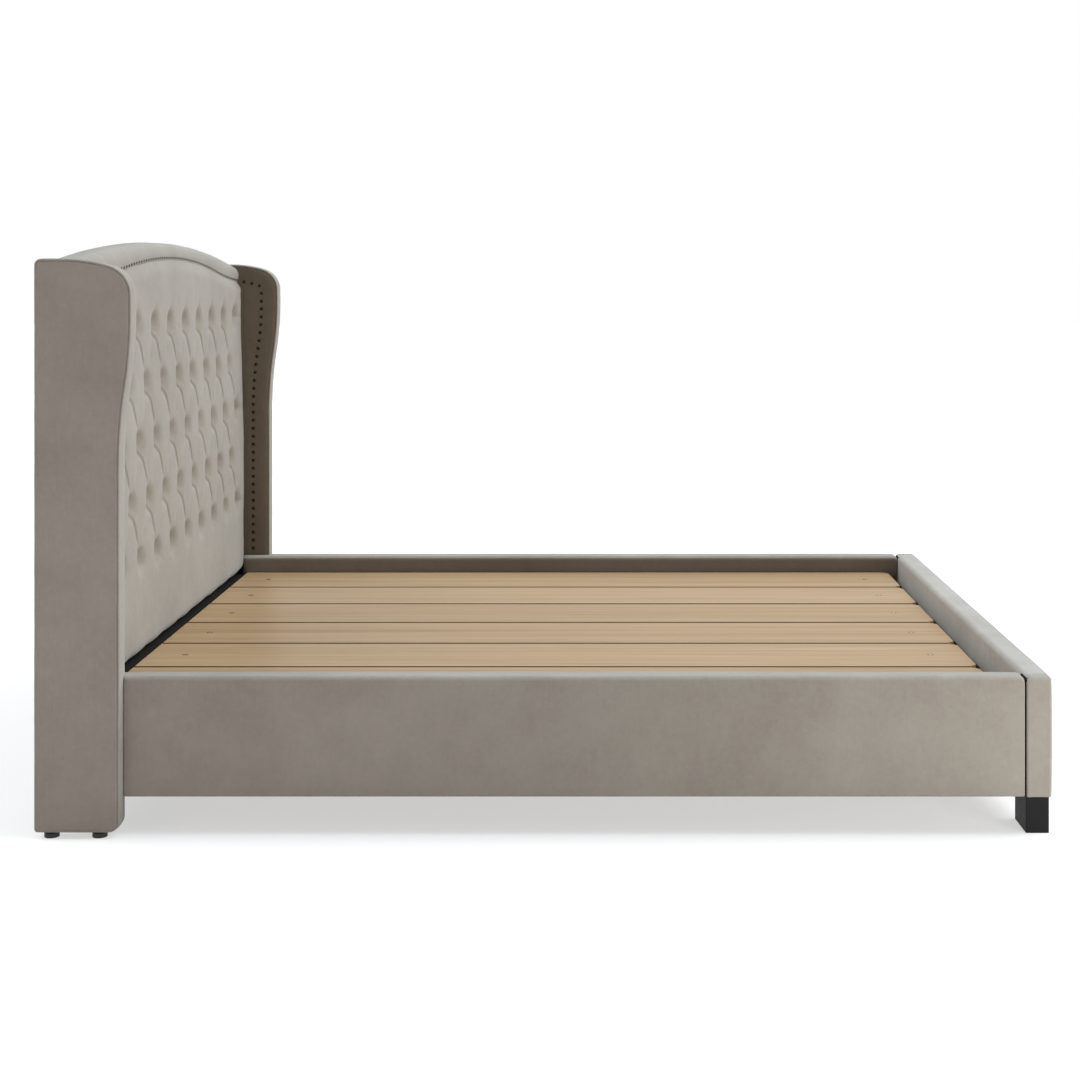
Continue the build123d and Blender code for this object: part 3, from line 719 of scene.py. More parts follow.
print("mesh helpers ready")

# %% [markdown]
# The two curves of the headboard
#
# The nailed line under the border is a camel-back: an arc that is high in the middle, then a
# hollow sweep out to each wing. The top of the border is one shallow arc. Both are written as a
# height for each place across the bed, because every headboard piece is built in upright columns.

# %% Nail line and arch
pad_low, pad_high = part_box("headboard_tufted_pad")
roll_low, roll_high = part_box("headboard_border_roll")
headboard_half = pad_high.y
nail_line_middle = pad_high.z
nail_line_turn = (0.5, nail_line_middle - 0.034)
nail_line_end = (headboard_half, nail_line_middle - 0.062)
arch_middle = roll_high.z
arch_end_height = arch_middle - 0.054


def arc_radius(half_span, rise):
    """The radius of an arc with this half span and rise."""
    return (half_span ** 2 + rise ** 2) / (2 * rise)


def nail_line(across):
    """Height of the nailed line, for places across the bed."""
    side = np.abs(np.asarray(across, float))
    turn_y, turn_z = nail_line_turn
    crown = arc_radius(turn_y, nail_line_middle - turn_z)
    slope = math.asin(turn_y / crown)
    run = nail_line_end[0] - turn_y
    drop = turn_z - nail_line_end[1]
    bend = slope - math.atan2(drop, run)
    sweep = math.hypot(run, drop) / (2 * math.sin(bend))
    centre_y = turn_y + sweep * math.sin(slope)
    centre_z = turn_z + sweep * math.cos(slope)
    inner = nail_line_middle - crown + np.sqrt(crown ** 2 - np.minimum(side, turn_y) ** 2)
    outer = centre_z - np.sqrt(sweep ** 2 - (np.maximum(side, turn_y) - centre_y) ** 2)
    return np.where(side <= turn_y, inner, outer)


def arch_top(across):
    """Height of the top of the border, for places across the bed."""
    radius = arc_radius(headboard_half, arch_middle - arch_end_height)
    return arch_middle - radius + np.sqrt(radius ** 2 - np.asarray(across, float) ** 2)


print("nail line", np.round(nail_line([0, 0.5, headboard_half]), 4))
print("arch top", np.round(arch_top([0, headboard_half]), 4))

# %% [markdown]
# Tufts and folds of the pad
#
# Deep tufting is made from behind: a twine draws the cloth into a hole in the foam at each point
# of a diamond grid, and the spare cloth between two points is laid into a fold. The folds open
# downwards, so that dust doesn't collect in them. Seen from above each fold there is a plump lip,
# then a quick step down, then a slow rise. A fold stands open next to its upper tuft and closes
# on its way to the lower one. The depth is worked out here for any place on the pad, as the sum
# of narrow folds, broad hollows and round dimples.

# %% Tuft grid
tuft_pitch = 0.156
tuft_row_pitch = 0.1445
tuft_row_count = 5
tufts_in_wide_row = 10
top_tuft_height = nail_line_end[1] - 0.108


def tuft_places():
    """(y, z) of each tuft, row by row from the top."""
    rows = []
    for row in range(tuft_row_count):
        count = tufts_in_wide_row - row % 2
        height = top_tuft_height - row * tuft_row_pitch
        rows.append([((i - (count - 1) / 2) * tuft_pitch, height) for i in range(count)])
    return rows


def diamond_folds():
    """(start, end) of each fold between two neighbouring tufts, from the upper to the lower."""
    folds = []
    rows = tuft_places()
    for upper, lower in zip(rows, rows[1:]):
        for start in upper:
            for finish in lower:
                if abs(abs(start[0] - finish[0]) - tuft_pitch / 2) < tuft_pitch / 10:
                    folds.append((start, finish))
    return folds


tuft_rows = tuft_places()
print("tufts", sum(len(row) for row in tuft_rows), "folds", len(diamond_folds()))

# %% Depth of the cloth
dimple_depth = 0.022
dimple_radius = 0.026
dimple_tallness = 1.12
hollow_depth = 0.0045
hollow_width = 0.03
fold_depth = 0.0085
fold_start = (0.006, 0.022)
fold_end = (0.5, 0.78)
fold_lip_width = 0.0012
fold_slow_width = 0.0055
fold_overrun = 0.012
hollow_rest = 0.55
hollow_power = 1.6
fold_rest = 0.6
fold_slow_power = 1.1
dimple_power = 2.5
crease_power = 1.5
top_crease = (0.085, 0.004, 2.1, 0.006, 0.012)
bottom_crease = (-0.075, 0.006, 1.7, 0.0045, 0.013)
side_crease = (0.104, -0.003, 0.009, 0.009)
crease_overrun = 0.008


def beside_segment(y, z, start, finish):
    """Share of the way along a segment, and signed distance from it, positive above it."""
    run = np.array(finish) - np.array(start)
    length = np.hypot(*run)
    way = run / length
    up = np.array([-way[1], way[0]])
    if up[1] < 0:
        up = -up
    share = ((y - start[0]) * way[0] + (z - start[1]) * way[1]) / length
    aside = (y - start[0]) * up[0] + (z - start[1]) * up[1]
    past = np.maximum(np.maximum(-share, share - 1), 0) * length
    return share, aside, past


def fold_hollow(y, z, start, finish):
    """Depth that one diamond fold gives to the cloth around it."""
    share, aside, past = beside_segment(y, z, start, finish)
    length = math.hypot(finish[0] - start[0], finish[1] - start[1])
    near_tuft = np.abs(np.cos(np.pi * np.clip(share, 0, 1))) ** 2
    fade = np.exp(-(past / fold_overrun) ** 2)
    shown = ease(share * length, *fold_start) * (1 - ease(share, *fold_end))
    spread = np.exp(-(np.abs(aside) / hollow_width) ** hollow_power)
    broad = hollow_depth * (hollow_rest + (1 - hollow_rest) * near_tuft) * spread
    lip = np.exp(-np.maximum(aside, 0) / fold_lip_width)
    slow = np.exp(-(np.maximum(-aside, 0) / fold_slow_width) ** fold_slow_power)
    sharp = fold_depth * shown * (fold_rest + (1 - fold_rest) * near_tuft) * lip * slow
    return (broad + sharp) * fade


def tuft_dimple(y, z, place):
    """Depth that one tuft gives, steep at its middle and soft at its rim."""
    distance = np.hypot(y - place[0], (z - place[1]) / dimple_tallness)
    return dimple_depth * np.exp(-(distance / dimple_radius) ** dimple_power)


def soft_crease(y, z, start, finish, depth, width):
    """A shallow crease that fades out along its way."""
    share, aside, past = beside_segment(y, z, start, finish)
    fade = np.clip(1 - share, 0, 1) ** crease_power * np.exp(-(past / crease_overrun) ** 2)
    return depth * fade * np.exp(-(np.abs(aside) / width) ** crease_power)


def margin_creases():
    """Creases from the outer tufts to the pad's edges: (start, end, depth, width)."""
    made = []
    for row, start_turn, crease in ((tuft_rows[0], 0, top_crease),
                                    (tuft_rows[-1], 1, bottom_crease)):
        rise, leaning, turn, depth, width = crease
        for index, (y, z) in enumerate(row):
            lean = leaning * math.sin(turn * index + start_turn)
            made.append(((y, z), (y + lean, z + rise), depth, width))
    run, rise, depth, width = side_crease
    for row in tuft_rows[::2]:
        for y, z in (row[0], row[-1]):
            made.append(((y, z), (y + math.copysign(run, y), z + rise), depth, width))
    return made


def cloth_depth(y, z):
    """How far the cloth lies behind the pad's plain face at each place."""
    hollows = np.zeros_like(y)
    for start, finish in diamond_folds():
        hollows = np.maximum(hollows, fold_hollow(y, z, start, finish))
    dimples = np.zeros_like(y)
    for row in tuft_rows:
        for place in row:
            dimples = np.maximum(dimples, tuft_dimple(y, z, place))
    creases = np.zeros_like(y)
    for start, finish, depth, width in margin_creases():
        creases = np.maximum(creases, soft_crease(y, z, start, finish, depth, width))
    return np.maximum(hollows, creases) + dimples


print("depth at a tuft", np.round(cloth_depth(*[np.array([v]) for v in tuft_rows[2][3]]), 4))

# %% [markdown]
# The pad itself
#
# The grid of points is set out so that every fold runs exactly through its points, and the faces
# beside a fold are cut along it. A fold then comes out as one clean line, where a plain grid
# would turn it into a row of steps. The pad's edge rolls back to the board over a quarter circle.
# The tufts are as deep as the padding lets them be, and stop just in front of the board.

# %% Tufted pad
steps_per_half_pitch = 24
pad_side_rounding = 0.028
pad_corner_radius = 0.04
pad_rim_steps = 9
pad_top_taper = 0.036
pad_top_thinning = 0.010
pad_thinning_reach = (0.03, 0.55)
pad_rim_reach = (0.004, 0.05)
pad_wave_reach = 0.03
pad_wave = 0.0016
pad_wave_size = 0.11
pad_ripple = 0.0006
pad_ripple_size = 0.035
pad_edge_wave = 0.0012
pad_edge_wave_size = 0.09
least_room = 0.0001
pad_puff = 0.002
scallop_depth = 0.0035
scallop_height = 0.05
scallop_end = (0.03, 0.09)
pad_backing = 0.003
stop_sharpness = 12


def rim_offsets():
    """Distances from the pad's outline that space a quarter circle evenly."""
    angles = np.linspace(0, math.pi / 2, pad_rim_steps)
    return pad_side_rounding * (1 - np.cos(angles))


def pad_columns():
    """Places across the pad: fine at the rims, and in step with the tufts between them."""
    step = tuft_pitch / 2 / steps_per_half_pitch
    reach = int((headboard_half - pad_side_rounding) / step)
    inner = np.arange(-reach, reach + 1) * step
    rim = rim_offsets()
    left = -headboard_half + rim
    left = left[left < inner[0] - step / 4]
    return np.concatenate([left, inner, -left[::-1]])


def pad_rows():
    """Upright places as (share of the top part, height below it), from the bottom up."""
    step = tuft_row_pitch / steps_per_half_pitch
    rim = rim_offsets()
    below = int((top_tuft_height - pad_low.z - pad_side_rounding) / step)
    above = int((nail_line_end[1] - pad_side_rounding - top_tuft_height) / step)
    inner = top_tuft_height + np.arange(-below, above + 1) * step
    fill = np.linspace(0, 1, 12)[1:]
    bottom = pad_low.z + rim
    bottom = bottom[bottom < inner[0] - step / 4]
    return bottom, inner, fill, rim[::-1]


def pad_places():
    """The y and z of the whole grid, as two arrays of rows x columns, and its top heights."""
    across = pad_columns()
    top = nail_line(across)
    bottom, inner, fill, rim = pad_rows()
    heights = [np.full_like(across, z) for z in np.concatenate([bottom, inner])]
    room = top - pad_side_rounding - inner[-1]
    heights += [inner[-1] + share * room for share in fill]
    heights += [top - offset for offset in rim[1:]]
    z = np.array(heights)
    y = np.broadcast_to(across, z.shape).copy()
    return y, z, np.broadcast_to(top, z.shape)


def round_corners(y, z, top):
    """Squeeze the corner squares into quarter discs. Returns y, z and two distances from the
    outline: to the whole rim, and to the sides and bottom only."""
    aside = headboard_half - np.abs(y)
    low = z - pad_low.z
    high = top - z
    upright = np.minimum(low, high)
    a = np.clip(1 - aside / pad_corner_radius, 0, 1)
    b = np.clip(1 - upright / pad_corner_radius, 0, 1)
    a_round = a * np.sqrt(1 - b * b / 2)
    b_round = b * np.sqrt(1 - a * a / 2)
    in_corner = (a > 0) & (b > 0)
    moved_y = np.sign(y) * (headboard_half - pad_corner_radius * (1 - a_round))
    moved_low = pad_low.z + pad_corner_radius * (1 - b_round)
    moved_high = top - pad_corner_radius * (1 - b_round)
    moved_z = np.where(low < high, moved_low, moved_high)
    in_rim = pad_corner_radius * (1 - np.hypot(a_round, b_round))
    rim = np.where(in_corner, in_rim, np.minimum(aside, upright))
    turn = a / np.maximum(a + b, 1e-9)
    in_side = np.where(low < high, in_rim, in_rim * turn + pad_corner_radius * (1 - turn))
    side = np.where(in_corner, in_side, np.minimum(aside, low))
    moved = np.where(in_corner, moved_y, y), np.where(in_corner, moved_z, z)
    return *moved, np.maximum(rim, 0), np.maximum(side, 0)


def pad_faces(y, z):
    """Triangles of the grid, cut along whichever fold direction is nearer."""
    rows, columns = y.shape
    faces = []
    tall = (top_tuft_height - z) / (2 * tuft_row_pitch)
    wide = y / tuft_pitch + 0.5
    to_left = np.abs((wide + tall + 0.5) % 1 - 0.5)
    to_right = np.abs((wide - tall + 0.5) % 1 - 0.5)
    for row in range(rows - 1):
        for column in range(columns - 1):
            a = row * columns + column
            b, c, d = a + 1, a + columns + 1, a + columns
            left = to_left[row:row + 2, column:column + 2].mean()
            right = to_right[row:row + 2, column:column + 2].mean()
            if left < right:
                faces += [(a, b, c), (a, c, d)]
            else:
                faces += [(a, b, d), (b, c, d)]
    return faces


def make_tufted_pad():
    """The whole pad as one closed piece."""
    y, z, top = pad_places()
    faces = pad_faces(y, z)
    y, z, rim, side_rim = round_corners(y, z, top)
    below_top = np.maximum(top - z, 0)
    thinner = pad_puff + pad_top_thinning * (1 - ease(below_top, *pad_thinning_reach))
    inward = np.clip(1 - side_rim / pad_side_rounding, 0, 1)
    rolled = pad_side_rounding * (1 - np.sqrt(1 - inward ** 2))
    upward = np.clip(1 - below_top / pad_top_taper, 0, 1)
    top_rolled = (pad_high.x - roll_high.x - thinner) * (1 - np.cos(upward * math.pi / 2))
    fade = ease(rim, *pad_rim_reach)
    at_rim = 1 - ease(rim, 0, pad_wave_reach)
    depth = cloth_depth(y, z) * fade
    flat = np.stack([np.zeros_like(y), y, z], axis=-1).reshape(-1, 3)
    waves = wander(flat, pad_wave_size, 3).reshape(y.shape) * pad_wave
    waves += wander(flat, pad_ripple_size, 4).reshape(y.shape) * pad_ripple
    face = np.minimum(pad_high.x - thinner - rolled, pad_high.x - thinner - top_rolled)
    room = np.maximum(face + pad_puff * fade - pad_low.x - pad_backing, least_room)
    depth = depth / (1 + (depth / room) ** stop_sharpness) ** (1 / stop_sharpness)
    x = face - depth + waves * ease(rim, 0, pad_wave_reach) + pad_puff * fade
    z = z + pad_edge_wave * wander(flat, pad_edge_wave_size, 5).reshape(y.shape) * at_rim
    hang = np.abs(np.sin(np.pi * y / tuft_pitch)) * ease(headboard_half - np.abs(y), *scallop_end)
    z = z - scallop_depth * hang * (1 - ease(z - pad_low.z, 0, scallop_height))
    grid = np.stack([x, y, z], axis=-1)
    points, faces = close_sheet(grid, 0, pad_low.x, faces)
    return make_piece("tufted_pad", points, faces, upholstery,
                      ["headboard_tufted_pad"])


tufted_pad = make_tufted_pad()

# %% [markdown]
# Padded border
#
# The border is a thin roll of padding under plain cloth, pulled tight over the top and held by
# the nails. Its section is drawn once, from the nailed edge up the front, over the round top and
# down the back, and swept along the headboard between the nail line and the arch. The cloth
# dips a little at every nail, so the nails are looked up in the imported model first.

# %% Find the nails
def middles_of_parts(node):
    """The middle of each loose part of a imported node, such as each nail of a row."""
    shape = bmesh.new()
    shape.from_mesh(nodes[node].data)
    bmesh.ops.remove_doubles(shape, verts=shape.verts, dist=1e-5)
    waiting = set(shape.verts)
    middles = []
    while waiting:
        part = [waiting.pop()]
        for vertex in part:
            for edge in vertex.link_edges:
                other = edge.other_vert(vertex)
                if other in waiting:
                    waiting.remove(other)
                    part.append(other)
        corners = np.array([v.co for v in part])
        middles.append((corners.min(0) + corners.max(0)) / 2)
    shape.free()
    return np.array(middles)


border_nails = middles_of_parts("headboard_nails")
print("border nails", len(border_nails))

# %% Border roll
roll_rounding = 0.038
roll_bulge = 0.003
nail_dent = 0.0012
nail_dent_radius = 0.008
roll_hem = 0.0012
roll_hem_turn = 0.0004
roll_front_start = 0.003
roll_least_front = 0.006
roll_under_inset = 0.02
roll_section_count = 325
roll_puff_start = 0.008
roll_wave_reach = (0.012, 0.03)
roll_ripple = 0.0007
roll_ripple_size = 0.05
roll_wave = 0.0008
roll_wave_size = 0.12


def roll_section(low, high):
    """(x, z) round the border's section, from its nailed front edge over the top to the back."""
    front_x = roll_high.x
    back_x = roll_low.x
    height = high - low
    radius = min(roll_rounding, height - roll_least_front)
    front = [(front_x - roll_hem, low), (front_x - roll_hem_turn, low + roll_hem)]
    for rise in np.linspace(roll_front_start, height - radius, 9):
        front.append((front_x, low + rise))
    angles = np.linspace(0, math.pi / 2, 13)[1:]
    over = [(front_x - radius * (1 - math.cos(t)), high - radius * (1 - math.sin(t)))
            for t in angles]
    flat_run = np.linspace(front_x - radius, back_x + radius, 4)[1:]
    top = [(x, high) for x in flat_run]
    down = [(back_x + radius * (1 - math.sin(t)), high - radius * (1 - math.cos(t)))
            for t in angles]
    back = [(back_x, low + share * (height - radius)) for share in (0.66, 0.33, 0)]
    under = [(back_x + roll_under_inset, low), (front_x - roll_under_inset, low)]
    return np.array(front + over + top + down + back + under)


def make_border_roll():
    """The border, swept from one wing to the other."""
    across = np.linspace(-headboard_half, headboard_half, roll_section_count)
    sections = []
    for y, low, high in zip(across, nail_line(across), arch_top(across)):
        section = roll_section(low, high)
        rise = (section[:, 1] - low - roll_puff_start) / (high - low)
        puff = np.sin(np.pi * np.clip(rise, 0, 1))
        in_front = section[:, 0] > roll_high.x - roll_rounding
        x = section[:, 0] + roll_bulge * puff * in_front
        closest = border_nails[np.abs(border_nails[:, 1] - y).argmin()]
        away = np.hypot(closest[1] - y, section[:, 1] - closest[2])
        x -= nail_dent * np.exp(-(away / nail_dent_radius) ** 2) * in_front
        sections.append(np.stack([x, np.full_like(x, y), section[:, 1]], axis=-1))
    points, faces = loft(sections)
    high_part = ease(points[:, 2] - nail_line(points[:, 1]), *roll_wave_reach)
    points[:, 0] += roll_ripple * wander(points, roll_ripple_size, 8) * high_part
    points[:, 2] += roll_wave * wander(points, roll_wave_size, 9) * high_part
    return make_piece("border_roll", points, faces, upholstery,
                      ["headboard_border_roll"])


border_roll = make_border_roll()

# %% [markdown]
# Outline of a wing
#
# A wing is a shaped board with a curved head. Its front edge rises straight, leans forward into
# the head and turns back over the top in two arcs. The outline is walked once, each arc starting
# in the direction in which the last one ended, and the cloth pieces are all set in from it.

# %% Wing outline
wing_low, wing_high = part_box("wing_boxing_near")
wing_back_x = wing_low.x
wing_head_x = wing_high.x
wing_foot_z = wing_low.z
wing_top_z = wing_high.z
wing_front_x = wing_head_x - 0.026
head_high_z = wing_top_z - 0.081
head_low_z = head_high_z - 0.055
neck_turn = (wing_head_x - 0.0115, head_low_z - 0.140)
waist_z = neck_turn[1] - 0.191
shoulder = (wing_head_x - 0.0505, wing_top_z - 0.014)
brow_x = wing_head_x - 0.1495
toe_radius = 0.025
heel_radius = 0.008
crown_radius = 0.014


def walk_line(points, finish, count):
    """Add evenly spaced points along a straight run."""
    start = points[-1]
    for share in np.linspace(0, 1, count + 1)[1:]:
        points.append((start[0] + share * (finish[0] - start[0]),
                       start[1] + share * (finish[1] - start[1])))


def walk_arc(points, direction, finish, count):
    """Add points along an arc that starts in a direction (degrees) and ends at a point."""
    start = np.array(points[-1])
    chord = np.array(finish) - start
    heading = math.atan2(chord[1], chord[0])
    begin = math.radians(direction)
    half_turn = (heading - begin + math.pi) % (2 * math.pi) - math.pi
    length = np.hypot(*chord)
    for share in np.linspace(0, 1, count + 1)[1:]:
        reach = length * math.sin(half_turn * share) / math.sin(half_turn)
        angle = begin + half_turn * share
        points.append((start[0] + reach * math.cos(angle), start[1] + reach * math.sin(angle)))
    return math.degrees(begin + 2 * half_turn)


def wing_front_chain():
    """Points from the middle of the sole round the toe, up the front and back over the top."""
    middle_x = (wing_back_x + wing_front_x) / 2
    points = [(middle_x, wing_foot_z)]
    walk_line(points, (wing_front_x - toe_radius, wing_foot_z), 6)
    walk_arc(points, 0, (wing_front_x, wing_foot_z + toe_radius), 10)
    walk_line(points, (wing_front_x, waist_z), 60)
    heading = walk_arc(points, 90, neck_turn, 22)
    walk_arc(points, heading, (wing_head_x, head_low_z), 16)
    walk_line(points, (wing_head_x, head_high_z), 6)
    heading = walk_arc(points, 90, shoulder, 20)
    walk_arc(points, heading, (brow_x, wing_top_z), 20)
    return points


def wing_back_chain():
    """Points from the flat top back round the crown, down the back and round the heel."""
    points = [(brow_x, wing_top_z)]
    walk_line(points, (wing_back_x + crown_radius, wing_top_z), 5)
    walk_arc(points, 180, (wing_back_x, wing_top_z - crown_radius), 8)
    walk_line(points, (wing_back_x, wing_foot_z + heel_radius), 100)
    walk_arc(points, -90, (wing_back_x + heel_radius, wing_foot_z), 6)
    walk_line(points, ((wing_back_x + wing_front_x) / 2, wing_foot_z), 6)
    return points


def inward_normals(loop):
    """The direction into a closed loop at each of its points, walked anticlockwise."""
    ahead = np.roll(loop, -1, axis=0) - np.roll(loop, 1, axis=0)
    ahead /= np.linalg.norm(ahead, axis=1)[:, None]
    return np.stack([-ahead[:, 1], ahead[:, 0]], axis=-1)


front_chain = np.array(wing_front_chain())
back_chain = np.array(wing_back_chain())
wing_loop = np.concatenate([front_chain[:-1], back_chain[:-1]])
wing_inward = inward_normals(wing_loop)
print("wing outline", len(wing_loop), "points")

# %% [markdown]
# Boxing strip
#
# A narrow strip of cloth goes round the wing's edge and is sewn to the two side covers. At each
# seam both cloths turn in, which leaves a dark line with two small soft shoulders. The strip's
# section is swept round the whole outline.

# %% Boxing
boxing_crown = 0.0009
boxing_depth = 0.0062
boxing_under_inset = 0.008
boxing_ripple = 0.0003
boxing_ripple_size = 0.03
back_softening = 0.07
back_softening_reach = (0.003, 0.014)
seam_profile = [(0.0056, 0.0034), (0.0044, 0.0012), (0.0032, 0.0001), (0.002, 0.0002),
                (0.0009, 0.0011), (0.0002, 0.003), (0.0, 0.006)]


def boxing_section(width):
    """(inset from the outline, place across the strip) round the strip's section."""
    crown_shares = np.linspace(0, 1, 9)[1:-1]
    inner = width - seam_profile[-1][1]
    crown = [(-boxing_crown * math.sin(math.pi * share),
              seam_profile[-1][1] + share * (inner - seam_profile[-1][1]))
             for share in crown_shares]
    mirrored = [(inset, width - place) for inset, place in reversed(seam_profile)]
    under = [(boxing_depth, width - boxing_under_inset), (boxing_depth, width / 2),
             (boxing_depth, boxing_under_inset)]
    return np.array(seam_profile + crown + mirrored + under)


def make_boxing(side, name):
    """The strip round one wing; side is -1 for the near one and 1 for the far one."""
    low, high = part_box(f"wing_boxing_{name}")
    outer_y = low.y if side < 0 else high.y
    width = high.y - low.y
    section = boxing_section(width)
    rings = []
    for inset, place in section:
        ring = wing_loop + wing_inward * inset
        y = np.full(len(ring), outer_y - side * place)
        rings.append(np.stack([ring[:, 0], y, ring[:, 1]], axis=-1))
    grid = np.array(rings)
    points = grid.reshape(-1, 3)
    count = len(wing_loop)
    faces = grid_faces(len(rings), count, wrap=True)
    last = (len(rings) - 1) * count
    for i in range(count):
        j = (i + 1) % count
        faces.append((last + i, last + j, j, i))
    at_back = 1 - ease(points[:, 0] - wing_back_x, *back_softening_reach)
    middle_y = (low.y + high.y) / 2
    points[:, 1] = middle_y + (points[:, 1] - middle_y) * (1 - back_softening * at_back)
    points[:, 0] += boxing_ripple * wander(points, boxing_ripple_size, 11 + side)
    return make_piece(f"wing_boxing_cloth_{name}", points, faces, upholstery,
                      [f"wing_boxing_{name}"])


for side, name in ((-1, "near"), (1, "far")):
    make_boxing(side, name)

# %% [markdown]
# Side covers of the wings
#
# Each side of a wing is one flat piece of cloth over thin wadding, drawn in at the seam and a
# little fuller in the middle. Inside, the row of nails holds the cloth down, so the band between
# the nails and the front edge is plumper than the rest. The points lie in level rows that end on
# the outline, and are closest together near the seam.

# %% Wing covers
cover_inset = 0.0036
seam_tuck = 0.0034
edge_steps = np.array([0, 0.0009, 0.0018, 0.003, 0.0048, 0.008, 0.013, 0.021])
level_steps = np.array([0, 0.0008, 0.0016, 0.0026, 0.0038, 0.0055, 0.008, 0.0115, 0.016, 0.022,
                        0.03, 0.04])
head_steps = np.arange(0.046, 0.3, 0.006)
level_gap = 0.012
full_row = 0.1
row_point_count = 16


def cover_levels():
    """Heights of a cover's rows, close together at the sole and over the head."""
    low = wing_foot_z + cover_inset
    high = wing_top_z - cover_inset
    lower = low + level_steps
    upper = high - np.concatenate([level_steps, head_steps])[::-1]
    middle_count = int((upper[0] - lower[-1]) / level_gap)
    middle = np.linspace(lower[-1], upper[0], middle_count)[1:-1]
    return np.concatenate([lower, middle, upper])


def chain_at_levels(chain, levels):
    """x of an outline chain, set in by the seam, at each height."""
    loop = wing_loop + wing_inward * cover_inset
    order = [int(np.hypot(*(wing_loop - p).T).argmin()) for p in chain]
    inset = loop[order]
    if inset[0, 1] > inset[-1, 1]:
        inset = inset[::-1]
    return np.interp(levels, np.maximum.accumulate(inset[:, 1]), inset[:, 0])


def distance_to_outline(x, z):
    """Distance from each point to the wing's outline."""
    flat = np.stack([x.ravel(), z.ravel()], axis=-1)
    found = np.full(len(flat), 1.0)
    runs = np.roll(wing_loop, -1, axis=0) - wing_loop
    for start, run in zip(wing_loop, runs):
        length = max(run @ run, 1e-12)
        share = np.clip((flat - start) @ run / length, 0, 1)
        gap = np.linalg.norm(flat - start - share[:, None] * run, axis=1)
        found = np.minimum(found, gap)
    return found.reshape(x.shape)


def cover_grid():
    """x and z of a cover's points, and their distances from the outline."""
    levels = cover_levels()
    back = chain_at_levels(back_chain, levels)
    front = chain_at_levels(front_chain, levels)
    width = front - back
    rows = []
    for x_back, run in zip(back, width):
        squeeze = min(1, run / full_row)
        edge = edge_steps * squeeze
        middle = np.linspace(edge[-1], run - edge[-1], row_point_count)[1:-1]
        rows.append(x_back + np.concatenate([edge, middle, run - edge[::-1]]))
    x = np.array(rows)
    z = np.broadcast_to(levels[:, None], x.shape)
    return x, z, distance_to_outline(x, z)


cover_x, cover_z, cover_rim = cover_grid()
print("cover grid", cover_x.shape, "rim from", round(float(cover_rim.min()), 4))

# %% Outer and inner covers
outer_fullness = 0.0022
band_fullness = 0.0022
nail_row_inset = 0.052
seam_far_edge = 0.0068
back_edge_width = 0.012
boxing_width = wing_high.y - wing_low.y
seam_front_reach = (0.012, 0.04)
seam_top_reach = (0.012, 0.03)
seam_sole_reach = (0.012, 0.035)
seam_sole_share = 0.4
cover_thickness = 0.0058
cover_ripple = 0.0004
cover_ripple_size = 0.05
cover_ripple_reach = (0.006, 0.03)
cover_ripple_stretch = np.array([1, 1, 0.25])
side_nail_dent = 0.0008
side_nail_dent_radius = 0.009


def seam_share():
    """How deep the seam lies round a cover: full at the front and top, and none at the back."""
    forward = ease(cover_x - wing_back_x, *seam_front_reach)
    upper = 1 - ease(wing_top_z - cover_z, *seam_top_reach)
    above_sole = ease(cover_z - wing_foot_z, *seam_sole_reach)
    sole = seam_sole_share + (1 - seam_sole_share) * above_sole
    return np.maximum(forward * sole, upper)


def back_edge_drop():
    """How far a cover falls away towards the wing's softly rounded back edge."""
    inset = np.clip(cover_x - wing_back_x - cover_inset, 0, back_edge_width) / back_edge_width
    return back_softening * (boxing_width / 2) * (1 - inset) ** 2


def cover_piece(name, finish, face_y, out, fullness, stands_for, seed):
    """One side cover, with its face at face_y and out as the direction it bulges in."""
    tuck = seam_tuck * seam_share() * (1 - ease(cover_rim, cover_inset, seam_far_edge))
    tuck = tuck + back_edge_drop()
    flat = np.stack([cover_x, np.zeros_like(cover_x), cover_z], axis=-1).reshape(-1, 3)
    drawn = wander(flat * cover_ripple_stretch, cover_ripple_size, seed).reshape(cover_x.shape)
    lift = fullness - tuck + cover_ripple * drawn * ease(cover_rim, *cover_ripple_reach)
    grid = np.stack([cover_x, face_y + out * lift, cover_z], axis=-1)
    points, faces = close_sheet(grid, 1, face_y - out * cover_thickness)
    made = make_piece(name, points, faces, finish, stands_for)
    return made


def nail_dents(nails):
    """Depth of the dips that a row of nails makes in a side cover."""
    depth = np.zeros_like(cover_x)
    for nail in nails:
        away = np.hypot(cover_x - nail[0], cover_z - nail[2])
        depth = np.maximum(depth, side_nail_dent * np.exp(-(away / side_nail_dent_radius) ** 2))
    return depth


outer_lift = outer_fullness * ease(cover_rim, 0.006, 0.07)
band = ease(cover_rim, 0.005, 0.016) * (1 - ease(cover_rim, 0.03, nail_row_inset - 0.004))
in_front_of_pad = ease(cover_x, pad_high.x - 0.005, pad_high.x + 0.03)
for side, name in ((-1, "near"), (1, "far")):
    low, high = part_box(f"wing_boxing_{name}")
    outside, inside = (low.y, high.y) if side < 0 else (high.y, low.y)
    inner_lift = band_fullness * band * in_front_of_pad - nail_dents(
        middles_of_parts(f"wing_nails_{name}"))
    cover_piece(f"wing_outer_cloth_{name}", upholstery, outside, side, outer_lift,
                [f"wing_outer_cover_{name}"], 21 + side)
    # The inner covers take the darker copy of the cloth: painted shade on the wings' inner faces.
    cover_piece(f"wing_inner_cloth_{name}", painted_shade_cloth, inside, -side, inner_lift,
                [f"wing_inner_cover_{name}"], 31 + side)

# %% [markdown]
# Side rails
#
# A side rail is a board wrapped in wadding and cloth: over the top, down the outside and under,
# with a flap turned in over the inside. Its part beside the headboard is thinner, because there
# it runs between the wings. The section is a rounded loop, and it is rebuilt at every place along
# the rail, so the thin part, the soft shoulder at the wing and the round foot end come from one
# sweep.

